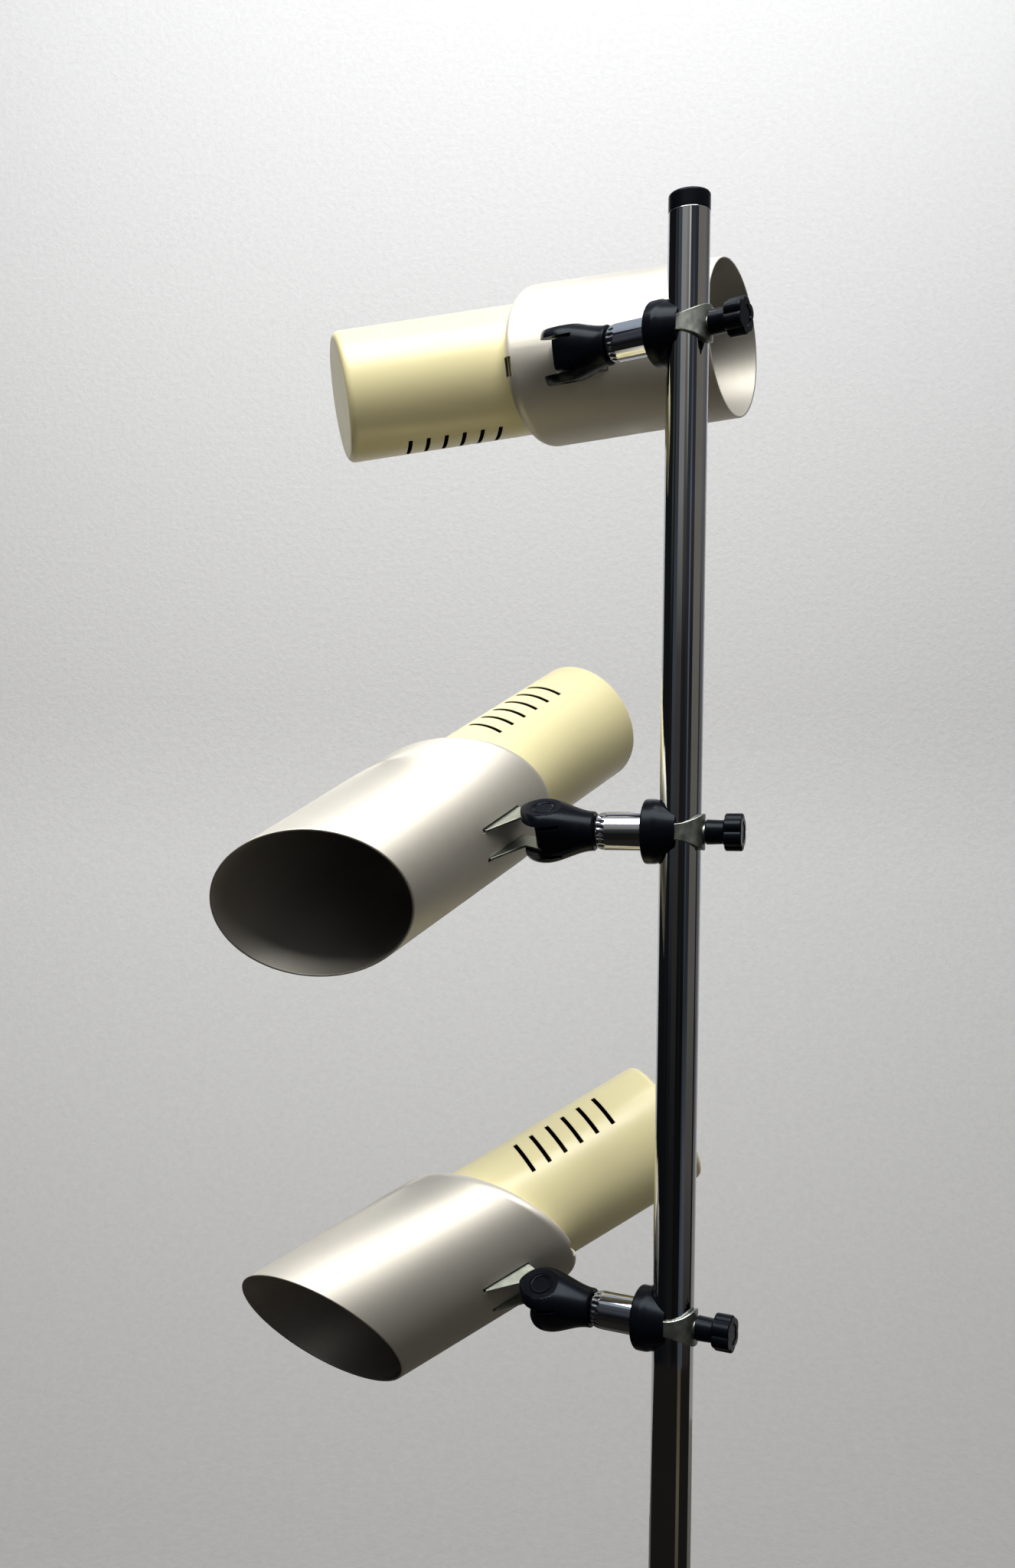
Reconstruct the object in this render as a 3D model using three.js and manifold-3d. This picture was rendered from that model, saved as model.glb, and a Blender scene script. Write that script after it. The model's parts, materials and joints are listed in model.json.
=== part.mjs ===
import * as THREE from 'three';
import { mergeVertices } from 'three/addons/utils/BufferGeometryUtils.js';
import Module from 'manifold-3d';

// Floor lamp with three adjustable spots on one chromed pole.
// Millimetres, +Z up, origin at the centre of the underside of the base.
// An arm's own +X runs from the pole's axis out to the knuckle.
// A head's own +X runs from the pivot to the shade's axis, its +Y is the pivot,
// and its +Z runs along the shade towards the mouth.

const wasm = await Module();
wasm.setup();

// General fits
const FIT = 0.3; // clearance between neighbouring pieces
const OVERRUN = 2; // how far a cutting body runs past what it cuts

// Pole and its end plug
const LAMP_HEIGHT = 1500;
const POLE_DIAMETER = 22;
const POLE_WALL = 1.5;
const WIRE_SLOT_HEIGHT = 6;
const WIRE_SLOT_REACH = 62; // degrees to each side of the arm
const WIRE_SLOT_SHARES = [-1, -0.5, 0, 0.5, 1]; // of that reach, along the slot's edge
const PLUG_HEIGHT = 9.6;
const PLUG_ROUNDING = 1.6;
const PLUG_SPIGOT_LENGTH = 18;

// Base
const BASE_DIAMETER = 290;
const BASE_HEIGHT = 25;
const BASE_ROUNDING = 9;
const BASE_WALL = 1.2;
const PAD_THICKNESS = 2;
const PAD_MARGIN = 4;
const WEIGHT_THICKNESS = 17;
const WEIGHT_MARGIN = 5;
const WEIGHT_CHAMFER = 4;
const WIRE_CHANNEL_WIDTH = 9;
const WIRE_CHANNEL_HEIGHT = 9;
const FOOT_RING_DIAMETER = 40;
const FOOT_RING_HEIGHT = 12;
const FOOT_RING_ROUNDING = 4;
const FOOT_BOLT_DIAMETER = 10;
const FOOT_BOLT_BORE = 5.6;
const FOOT_BOLT_PLUG_LENGTH = 34;
const FOOT_BOLT_TIP_HEIGHT = 4.5;
const FOOT_NUT_DIAMETER = 22; // over the corners
const FOOT_NUT_HEIGHT = 6;
const NUT_RECESS_DIAMETER = 30;
const GROMMET_DIAMETER = 10;
const GROMMET_BORE = 6;
const GROMMET_LENGTH = 7;
const GROMMET_LIP = 1.4;
const GROMMET_HEIGHT = 9.4; // above the floor

// Clamp: collar, strap and thumb screw
const COLLAR_DIAMETER = 35;
const COLLAR_THICKNESS = 7.5;
const COLLAR_ROUNDING = 1.8;
const HUB_WIDE_DIAMETER = 28;
const HUB_NARROW_DIAMETER = 19;
const HUB_WRAP = 5.5; // how far the hub reaches back round the pole
const SPIGOT_LENGTH = 8;
const WIRE_BORE = 6.4;
const STRAP_THICKNESS = 1.8;
const STRAP_NARROW = 8.5;
const STRAP_WIDE = 19.5;
const STRAP_LEG_GRIP = 4.5; // length of each leg held in the collar
const STRAP_EDGE_SHARES = [[0, 0], [0.35, 0.16], [0.7, 0.5], [1, 1]]; // way round, growth
const STRAP_BOSS_DIAMETER = 9;
const STRAP_BOSS_LENGTH = 4.4;
const SCREW_DIAMETER = 6;
const SCREW_LENGTH = 17;
const KNOB_SKIRT_DIAMETER = 13.4;
const KNOB_SKIRT_LENGTH = 11;
const KNOB_HEAD_DIAMETER = 20;
const KNOB_HEAD_LENGTH = 11;
const KNOB_BEVEL = 0.9;
const KNOB_FLUTE = 0.9; // depth of the hollows between the lobes
const KNOB_LOBES = 6;

// Arm: chromed sleeve, hollow bolt and its nut
const SLEEVE_DIAMETER = 21;
const SLEEVE_LENGTH = 26.5;
const SLEEVE_WALL = 2;
const SLEEVE_ROUNDING = 3.4;
const SLEEVE_END_WALL = 4;
const SWIVEL_BOLT_DIAMETER = 10;
const SWIVEL_FLANGE_DIAMETER = 16;
const SWIVEL_FLANGE_THICKNESS = 2.4;
const SWIVEL_NUT_HEIGHT = 5;
const SWIVEL_NUT_DIAMETER = 15.6;
const SWIVEL_BOLT_TAIL = 1.5;

// Knuckle
const PIVOT_REACH = 73.1; // from the pole's axis to the pivot
const KNUCKLE_NECK_DIAMETER = 21.6;
const KNUCKLE_NECK_WALL = 4;
const KNUCKLE_LOBE_DIAMETER = 31;
const KNUCKLE_WIDTH = 30;
const KNUCKLE_RECESS_LENGTH = 7;
const KNUCKLE_CONE_SHARES = [[0, 0], [0.32, 0.24], [0.68, 0.76], [1, 1]]; // way along, swell
const KNUCKLE_TIP_SHARES = [[0.38, 0.98], [0.8, 0.88]]; // quarter turn, width
const KNUCKLE_ROUND = 2; // squareness of the neck's section
const KNUCKLE_SQUARE = 3.4; // squareness of the section at the cheeks
const EAR_SLOT_DEPTH = 10.4; // behind the pivot
const WIRE_NOTCH_WIDTH = 7;
const WIRE_NOTCH_DEPTH = 8;
const TONGUE_DIAMETER = 26;
const PIVOT_SCREW_DIAMETER = 5;
const PIVOT_HEAD_DIAMETER = 12.6;
const PIVOT_HEAD_THICKNESS = 2.4;
const PIVOT_NUT_DIAMETER = 9.2;
const PIVOT_NUT_HEIGHT = 3;

// Bracket of bent sheet
const BRACKET_WIDTH = 19.5; // over the two ears
const BRACKET_SHEET = 1.5;
const EAR_EYE_DIAMETER = 14;
const EAR_FOOT_BACK = 0.4; // ear foot, from the pivot towards the back
const EAR_FOOT_FRONT = 27.5; // ear foot, from the pivot towards the mouth
const EAR_WAIST_REACH = 10.5;
const EAR_EYE_START = 3.15; // quarter turns at which the straight back edge meets the eye
const EAR_FLARE_SHARES = [[0, 0], [0.35, 0.12], [0.65, 0.38], [0.86, 0.72], [1, 1]]; // out, up
const EAR_SLOT_SPARE = 1.3;
const WEB_MARGIN = 1.5;

// Shade
const SHADE_DIAMETER = 94.6;
const SHADE_SHEET = 1.2;
const SHADE_OFFSET = 66.2; // from the pivot to the shade's axis
const MOUTH_REACH = 121.3; // from the pivot to the middle of the mouth
const NECK_REACH = -1.5; // from the pivot to the middle of the shade's neck
const CUT_SLOPE = Math.tan(THREE.MathUtils.degToRad(34.4)); // both ends alike
const NOTCH_WIDTH = 11;
const NOTCH_DEPTH = 2.2;

// Rear housing
const HOUSING_DIAMETER = 76.3;
const HOUSING_SHEET = 1;
const HOUSING_REACH = 121.8; // from the pivot back to the flat end
const HOUSING_ROUNDING = 4;
const HOUSING_FLANGE = 1.8;
const VENT_COUNT = 6;
const VENT_PITCH = 10.9;
const VENT_START = 32; // from the pivot back to the first vent
const VENT_WIDTH = 2.5;
const VENT_CHORD = 25;

// Lampholder and the strip that carries it
const STRIP_WIDTH = 16;
const STRIP_SHEET = 1.5;
const STRIP_FOOT_LENGTH = 20;
const STRIP_JOG_LENGTH = 14;
const STRIP_END_ROOM = 19.8; // from the end plate back to the housing's flat end
const STRIP_END_MARGIN = 9;
const STRIP_SCREW_DIAMETER = 3.6;
const STRIP_SCREW_HEAD = 7;
const STRIP_SCREW_HEAD_HEIGHT = 2;
const HOLDER_LENGTH = 57;
const HOLDER_BODY_DIAMETER = 34;
const HOLDER_SKIRT_DIAMETER = 40;
const HOLDER_SKIRT_LENGTH = 20;
const HOLDER_NECK_DIAMETER = 15;
const HOLDER_NECK_LENGTH = 7;
const HOLDER_DOME_LENGTH = 9;
const HOLDER_STUD_DIAMETER = 10;
const HOLDER_STUD_LENGTH = 5;
const SOCKET_BORE = 27.4;
const SOCKET_DEPTH = 28;

// The three spots, from the top: drop of the clamp below the top of the lamp,
// swivel round the pole, roll round the arm and tilt at the pivot, in degrees
const UPPER_DROP = 70.1;
const MIDDLE_DROP = 336.7;
const LOWER_DROP = 600.4;
const SPOTS = [
  { name: 'upper', drop: UPPER_DROP, swivel: 141.4, roll: 74.9, tilt: 46.5 },
  { name: 'middle', drop: MIDDLE_DROP, swivel: 156.2, roll: -120.2, tilt: -24.7 },
  { name: 'lower', drop: LOWER_DROP, swivel: 147.3, roll: -131.2, tilt: -41.3 },
];

// Sides of the round forms
const SIDES_BASE = 32;
const SIDES_SHADE = 28;
const SIDES_HOUSING = 24;
const SIDES_POLE = 24;
const SIDES_ROUND = 16;
const SIDES_HOLDER = 12;
const SIDES_SMALL = 10;
const SIDES_HEX = 6;
const STEPS_ROUNDING = 2;
const STEPS_SHOULDER = 3;
const STEPS_LOBE = 3;
const STEPS_EYE = 5;

// Places that follow from the sizes above
const poleRadius = POLE_DIAMETER / 2;
const poleBore = poleRadius - POLE_WALL;
const poleFoot = BASE_HEIGHT + FIT;
const poleTop = LAMP_HEIGHT - PLUG_HEIGHT - FIT;
const collarFace = poleRadius + COLLAR_THICKNESS;
const strapInner = poleRadius + FIT;
const strapOuter = strapInner + STRAP_THICKNESS;
const sleeveStart = collarFace + FIT;
const sleeveEnd = sleeveStart + SLEEVE_LENGTH;
const sleeveBore = SLEEVE_DIAMETER / 2 - SLEEVE_WALL;
const knuckleStart = sleeveEnd + FIT;
const flangeStart = knuckleStart + KNUCKLE_NECK_WALL + FIT;
const earOuter = BRACKET_WIDTH / 2;
const earInner = earOuter - BRACKET_SHEET;
const shadeRadius = SHADE_DIAMETER / 2;
const shadeBore = shadeRadius - SHADE_SHEET;
const housingRadius = HOUSING_DIAMETER / 2;
const neckRadius = housingRadius + FIT;
const shoulder = shadeRadius - neckRadius;
const webOuter = SHADE_OFFSET - Math.sqrt(shadeBore ** 2 - earOuter ** 2) + FIT;
const webInner = webOuter + BRACKET_SHEET;

// A closed three.js geometry as a solid that can be cut and joined
function solid(geometry) {
  const bare = geometry.index ? geometry.toNonIndexed() : geometry.clone();
  for (const name of Object.keys(bare.attributes)) {
    if (name !== 'position') bare.deleteAttribute(name);
  }
  const merged = mergeVertices(bare);
  const vertProperties = new Float32Array(merged.attributes.position.array);
  const triVerts = new Uint32Array(merged.index.array);
  return new wasm.Manifold(new wasm.Mesh({ numProp: 3, vertProperties, triVerts }));
}

// The solid back as a flat-shaded geometry
function geometryOf(body) {
  const { vertProperties, triVerts } = body.getMesh();
  const geometry = new THREE.BufferGeometry();
  geometry.setAttribute('position', new THREE.BufferAttribute(new Float32Array(vertProperties), 3));
  geometry.setIndex(Array.from(triVerts));
  geometry.computeVertexNormals();
  return geometry;
}

// A profile of [radius, height] pairs turned round Z
function turned(profile, sides) {
  const points = profile.map(([radius, height]) => new THREE.Vector2(radius, height));
  return new THREE.LatheGeometry(points, sides).rotateX(Math.PI / 2);
}

// A closed ring profile turned round Z
function ring(inner, outer, low, high, sides) {
  return turned([[inner, low], [outer, low], [outer, high], [inner, high], [inner, low]], sides);
}

// A plain disc or rod round Z
function rod(radius, low, high, sides) {
  return turned([[0, low], [radius, low], [radius, high], [0, high]], sides);
}

// Points of a quarter arc, angles in quarter turns
function arc(centreRadius, centreHeight, radius, from, to, steps = STEPS_ROUNDING) {
  return Array.from({ length: steps + 1 }, (_, i) => {
    const angle = (from + (to - from) * i / steps) * Math.PI / 2;
    return [centreRadius + radius * Math.cos(angle), centreHeight + radius * Math.sin(angle)];
  });
}

// A box between two corners
function block(from, to) {
  const [x, y, z] = from.map((low, i) => (low + to[i]) / 2);
  const size = from.map((low, i) => to[i] - low);
  return new THREE.BoxGeometry(...size).translate(x, y, z);
}

// An outline of [x, y] pairs drawn up along Z
function drawn(outline, low, high) {
  const shape = new THREE.Shape(outline.map(([x, y]) => new THREE.Vector2(x, y)));
  const geometry = new THREE.ExtrudeGeometry(shape, { depth: high - low, bevelEnabled: false });
  return geometry.translate(0, 0, low);
}

// An outline of [x, z] pairs drawn across, along Y
const across = (outline, low, high) => drawn(outline, -high, -low).rotateX(Math.PI / 2);

// Z laid along the arm, and Z laid along the pivot
const alongArm = (geometry) => geometry.rotateY(Math.PI / 2);
const alongPivot = (geometry) => geometry.rotateX(-Math.PI / 2);

// Slants a form that stands on the shade's axis, so that both ends run alike
function slanted(geometry) {
  const shear = new THREE.Matrix4().set(1, 0, 0, 0, 0, 1, 0, 0, CUT_SLOPE, 0, 1, 0, 0, 0, 0, 1);
  return geometry.applyMatrix4(shear);
}

function mesh(name, shape, colour, roughness, metalness) {
  const geometry = shape.isBufferGeometry ? geometryOf(solid(shape)) : geometryOf(shape);
  const material = new THREE.MeshStandardMaterial({ color: colour, roughness, metalness });
  const piece = new THREE.Mesh(geometry, material);
  piece.name = name;
  return piece;
}

// Finishes: colour, roughness and metalness
const rubberBlack = [0x1c1c1e, 0.9, 0];
const castIron = [0x3a3a3c, 0.7, 0.6];
const lacquerBlack = [0x15161a, 0.45, 0.1];
const plasticBlack = [0x0c0e14, 0.4, 0];
const chrome = [0xc8cacc, 0.12, 1];
const zinc = [0x9aa196, 0.45, 0.85];
const steel = [0x8d8f90, 0.4, 0.9];
const aluminium = [0xc9c6bc, 0.38, 0.9];
const cream = [0xe8e2c0, 0.35, 0];
const bakelite = [0x111012, 0.5, 0];

// Pole with one wire slot behind each clamp
function pole() {
  let tube = solid(ring(poleBore, poleRadius, poleFoot, poleTop, SIDES_POLE));
  for (const spot of SPOTS) {
    const middle = LAMP_HEIGHT - spot.drop;
    const reach = poleRadius + OVERRUN;
    const outline = [[0, 0]];
    for (const share of WIRE_SLOT_SHARES) {
      const angle = THREE.MathUtils.degToRad(spot.swivel + WIRE_SLOT_REACH * share);
      outline.push([reach * Math.cos(angle), reach * Math.sin(angle)]);
    }
    const low = middle - WIRE_SLOT_HEIGHT / 2;
    tube = tube.subtract(solid(drawn(outline, low, low + WIRE_SLOT_HEIGHT)));
  }
  return tube;
}

function endPlug() {
  const spigot = poleBore - FIT;
  const low = LAMP_HEIGHT - PLUG_HEIGHT;
  return turned([
    [0, low - PLUG_SPIGOT_LENGTH], [spigot, low - PLUG_SPIGOT_LENGTH], [spigot, low], [poleRadius, low],
    ...arc(poleRadius - PLUG_ROUNDING, LAMP_HEIGHT - PLUG_ROUNDING, PLUG_ROUNDING, 0, 1),
    [0, LAMP_HEIGHT],
  ], SIDES_POLE);
}

// Base: pressed cover, cast weight, pad and the bolt that holds the pole
const baseRadius = BASE_DIAMETER / 2;
const coverLow = PAD_THICKNESS + FIT;
const boltHole = FOOT_BOLT_DIAMETER / 2 + FIT;
const grommetSeat = GROMMET_DIAMETER / 2 + FIT;

function baseCover() {
  const inner = baseRadius - BASE_WALL;
  const centre = baseRadius - BASE_ROUNDING;
  const height = BASE_HEIGHT - BASE_ROUNDING;
  const shell = solid(turned([
    [inner, coverLow], [baseRadius, coverLow],
    ...arc(centre, height, BASE_ROUNDING, 0, 1),
    [boltHole, BASE_HEIGHT], [boltHole, BASE_HEIGHT - BASE_WALL],
    ...arc(centre, height, BASE_ROUNDING - BASE_WALL, 1, 0, 1),
    [inner, coverLow],
  ], SIDES_BASE));
  const hole = rod(grommetSeat, inner - OVERRUN, baseRadius + OVERRUN, SIDES_SMALL);
  return shell.subtract(solid(hole.rotateX(-Math.PI / 2).translate(0, 0, GROMMET_HEIGHT)));
}

function baseWeight() {
  const radius = baseRadius - WEIGHT_MARGIN;
  const high = coverLow + WEIGHT_THICKNESS;
  let disc = solid(turned([
    [0, coverLow], [radius, coverLow], [radius, high - WEIGHT_CHAMFER],
    [radius - WEIGHT_CHAMFER, high], [0, high],
  ], SIDES_BASE));
  const recess = NUT_RECESS_DIAMETER / 2;
  const recessTop = FOOT_BOLT_TIP_HEIGHT + FOOT_NUT_HEIGHT + FIT;
  const channelTop = coverLow + WIRE_CHANNEL_HEIGHT;
  const side = WIRE_CHANNEL_WIDTH / 2;
  disc = disc.subtract(solid(rod(boltHole, 0, high + OVERRUN, SIDES_SMALL)));
  disc = disc.subtract(solid(rod(recess, 0, recessTop, SIDES_ROUND)));
  return disc.subtract(solid(block([-side, 0, 0], [side, baseRadius, channelTop])));
}

const basePad = () => rod(baseRadius - PAD_MARGIN, 0, PAD_THICKNESS, SIDES_BASE);

function footRing() {
  const radius = FOOT_RING_DIAMETER / 2;
  const high = poleFoot + FOOT_RING_HEIGHT;
  const bore = poleRadius + FIT;
  return turned([
    [bore, poleFoot], [radius, poleFoot],
    ...arc(radius - FOOT_RING_ROUNDING, high - FOOT_RING_ROUNDING, FOOT_RING_ROUNDING, 0, 1),
    [bore, high], [bore, poleFoot],
  ], SIDES_POLE);
}

function footBolt() {
  const bore = FOOT_BOLT_BORE / 2;
  const stud = FOOT_BOLT_DIAMETER / 2;
  const plug = poleBore - FIT;
  const high = poleFoot + FOOT_BOLT_PLUG_LENGTH;
  return turned([
    [bore, FOOT_BOLT_TIP_HEIGHT], [stud, FOOT_BOLT_TIP_HEIGHT], [stud, poleFoot], [plug, poleFoot],
    [plug, high], [bore, high], [bore, FOOT_BOLT_TIP_HEIGHT],
  ], SIDES_HOLDER);
}

function footNut() {
  const inner = boltHole / Math.cos(Math.PI / SIDES_HEX);
  return ring(inner, FOOT_NUT_DIAMETER / 2, FOOT_BOLT_TIP_HEIGHT + FIT,
    FOOT_BOLT_TIP_HEIGHT + FOOT_NUT_HEIGHT, SIDES_HEX);
}

// Grommet for the lead, with a lip inside and outside the cover
function grommet() {
  const bore = GROMMET_BORE / 2;
  const body = GROMMET_DIAMETER / 2;
  const lip = body + GROMMET_LIP;
  const wallIn = baseRadius - BASE_WALL - lip * Math.tan(Math.PI / SIDES_BASE) - FIT;
  const wallOut = baseRadius + FIT;
  const side = (GROMMET_LENGTH - BASE_WALL - FIT * 2) / 2;
  const profile = [
    [bore, wallIn - side], [lip, wallIn - side], [lip, wallIn], [body, wallIn], [body, wallOut],
    [lip, wallOut], [lip, wallOut + side / 2], [body, wallOut + side], [bore, wallOut + side],
    [bore, wallIn - side],
  ];
  return turned(profile, SIDES_SMALL).rotateX(-Math.PI / 2).translate(0, 0, GROMMET_HEIGHT);
}

// Collar: disc and hub hollowed to the pole, with pockets for the strap's legs
function collar() {
  const radius = COLLAR_DIAMETER / 2;
  const back = collarFace - COLLAR_THICKNESS;
  const spigot = sleeveBore - FIT;
  const profile = [
    [0, HUB_WRAP], [HUB_NARROW_DIAMETER / 2, HUB_WRAP], [HUB_WIDE_DIAMETER / 2, back],
    ...arc(radius - COLLAR_ROUNDING, back + COLLAR_ROUNDING, COLLAR_ROUNDING, -1, 0),
    ...arc(radius - COLLAR_ROUNDING, collarFace - COLLAR_ROUNDING, COLLAR_ROUNDING, 0, 1),
    [spigot, collarFace], [spigot, collarFace + SPIGOT_LENGTH], [0, collarFace + SPIGOT_LENGTH],
  ];
  let body = solid(alongArm(turned(profile, SIDES_ROUND)));
  body = body.subtract(solid(rod(poleRadius + FIT, -radius - OVERRUN, radius + OVERRUN, SIDES_POLE)));
  const bore = rod(WIRE_BORE / 2, 0, collarFace + SPIGOT_LENGTH + OVERRUN, SIDES_SMALL);
  body = body.subtract(solid(alongArm(bore)));
  const half = STRAP_NARROW / 2 + FIT;
  const end = back + STRAP_LEG_GRIP + FIT;
  for (const side of [-1, 1]) {
    const near = side * (strapInner - FIT);
    const far = side * (strapOuter + FIT);
    const pocket = block([0, Math.min(near, far), -half], [end, Math.max(near, far), half]);
    body = body.subtract(solid(pocket));
  }
  return body;
}

// Strap: a band bent round the pole, tall at the screw and narrow at its legs
function strap() {
  const leg = collarFace - COLLAR_THICKNESS + STRAP_LEG_GRIP;
  const plan = new THREE.Shape();
  plan.moveTo(leg, strapOuter);
  plan.lineTo(0, strapOuter);
  plan.absarc(0, 0, strapOuter, Math.PI / 2, Math.PI * 1.5, false);
  plan.lineTo(leg, -strapOuter);
  plan.lineTo(leg, -strapInner);
  plan.lineTo(0, -strapInner);
  plan.absarc(0, 0, strapInner, Math.PI * 1.5, Math.PI / 2, true);
  plan.lineTo(leg, strapInner);
  plan.closePath();
  const options = { depth: STRAP_WIDE, bevelEnabled: false, curveSegments: SIDES_ROUND / 2 };
  const band = solid(new THREE.ExtrudeGeometry(plan, options).translate(0, 0, -STRAP_WIDE / 2));
  const edge = STRAP_EDGE_SHARES.map(([alongShare, growthShare]) => {
    const half = STRAP_NARROW / 2 + (STRAP_WIDE - STRAP_NARROW) / 2 * growthShare;
    return [-strapOuter * alongShare, half];
  });
  const top = [[leg + OVERRUN, STRAP_NARROW / 2], ...edge, [-strapOuter - OVERRUN, STRAP_WIDE / 2]];
  const outline = [...top, ...top.map(([x, z]) => [x, -z]).reverse()];
  const side = across(outline, -strapOuter - OVERRUN, strapOuter + OVERRUN);
  const boss = alongArm(rod(STRAP_BOSS_DIAMETER / 2, -strapOuter - STRAP_BOSS_LENGTH,
    -strapInner - STRAP_THICKNESS / 2, SIDES_SMALL));
  const hole = alongArm(rod(SCREW_DIAMETER / 2 + FIT, -strapOuter - STRAP_BOSS_LENGTH - OVERRUN, 0,
    SIDES_SMALL));
  return band.intersect(solid(side)).add(solid(boss)).subtract(solid(hole));
}

const screwTip = -poleRadius - FIT;
const knobStart = -strapOuter - FIT * 2;

const clampScrew = () => alongArm(rod(SCREW_DIAMETER / 2, screwTip - SCREW_LENGTH, screwTip, SIDES_SMALL));

// Thumb knob: lobed head on a skirt that covers the strap's threaded boss
function thumbKnob() {
  const headStart = knobStart - KNOB_SKIRT_LENGTH;
  const crest = KNOB_HEAD_DIAMETER / 2 - KNOB_BEVEL;
  const outline = Array.from({ length: KNOB_LOBES * STEPS_LOBE }, (_, i) => {
    const angle = i / (KNOB_LOBES * STEPS_LOBE) * Math.PI * 2;
    const radius = crest - KNOB_FLUTE / 2 * (1 - Math.cos(angle * KNOB_LOBES));
    return new THREE.Vector2(radius * Math.cos(angle), radius * Math.sin(angle));
  });
  const head = new THREE.ExtrudeGeometry(new THREE.Shape(outline), {
    depth: KNOB_HEAD_LENGTH - KNOB_BEVEL * 2, bevelThickness: KNOB_BEVEL, bevelSize: KNOB_BEVEL,
    bevelSegments: 1,
  }).translate(0, 0, headStart - KNOB_HEAD_LENGTH + KNOB_BEVEL);
  const skirt = rod(KNOB_SKIRT_DIAMETER / 2, headStart - KNOB_BEVEL, knobStart, SIDES_ROUND);
  const recess = rod(STRAP_BOSS_DIAMETER / 2 + FIT, knobStart - STRAP_BOSS_LENGTH, 0, SIDES_SMALL);
  const bore = rod(SCREW_DIAMETER / 2 + FIT, screwTip - SCREW_LENGTH - FIT, 0, SIDES_SMALL);
  const body = solid(alongArm(head)).add(solid(alongArm(skirt)));
  return body.subtract(solid(alongArm(recess))).subtract(solid(alongArm(bore)));
}

function sleeve() {
  const radius = SLEEVE_DIAMETER / 2;
  const hole = SWIVEL_BOLT_DIAMETER / 2 + FIT;
  return alongArm(turned([
    [sleeveBore, sleeveStart], [radius, sleeveStart],
    ...arc(radius - SLEEVE_ROUNDING, sleeveEnd - SLEEVE_ROUNDING, SLEEVE_ROUNDING, 0, 1),
    [hole, sleeveEnd], [hole, sleeveEnd - SLEEVE_END_WALL],
    [sleeveBore, sleeveEnd - SLEEVE_END_WALL], [sleeveBore, sleeveStart],
  ], SIDES_ROUND));
}

const nutFace = sleeveEnd - SLEEVE_END_WALL - FIT;

// Hollow bolt that ties the knuckle to the sleeve and lets the wires through
function swivelBolt() {
  const bore = WIRE_BORE / 2;
  const radius = SWIVEL_BOLT_DIAMETER / 2;
  const flange = SWIVEL_FLANGE_DIAMETER / 2;
  const tail = nutFace - SWIVEL_NUT_HEIGHT - SWIVEL_BOLT_TAIL;
  const flangeEnd = flangeStart + SWIVEL_FLANGE_THICKNESS;
  return alongArm(turned([
    [bore, tail], [radius, tail], [radius, flangeStart], [flange, flangeStart],
    [flange, flangeEnd], [bore, flangeEnd], [bore, tail],
  ], SIDES_SMALL));
}

function swivelNut() {
  const inner = (SWIVEL_BOLT_DIAMETER / 2 + FIT) / Math.cos(Math.PI / SIDES_HEX);
  return alongArm(ring(inner, SWIVEL_NUT_DIAMETER / 2, nutFace - SWIVEL_NUT_HEIGHT, nutFace, SIDES_HEX));
}

// Lofts rounded sections along the arm, each [place, half width, half height, squareness]
function lofted(sections, sides) {
  const positions = [];
  const index = [];
  for (const [place, width, height, squareness] of sections) {
    for (let i = 0; i < sides; i += 1) {
      const angle = i / sides * Math.PI * 2;
      const [c, s] = [Math.cos(angle), Math.sin(angle)];
      const y = width * Math.sign(c) * Math.abs(c) ** (2 / squareness);
      const z = height * Math.sign(s) * Math.abs(s) ** (2 / squareness);
      positions.push(place, y, z);
    }
  }
  for (let row = 0; row < sections.length - 1; row += 1) {
    for (let i = 0; i < sides; i += 1) {
      const [a, b] = [row * sides + i, row * sides + (i + 1) % sides];
      index.push(a, b, b + sides, a, b + sides, a + sides);
    }
  }
  const last = (sections.length - 1) * sides;
  for (let i = 1; i < sides - 1; i += 1) {
    index.push(0, i + 1, i, last, last + i, last + i + 1);
  }
  const geometry = new THREE.BufferGeometry();
  geometry.setAttribute('position', new THREE.Float32BufferAttribute(positions, 3));
  geometry.setIndex(index);
  return geometry;
}

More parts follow.
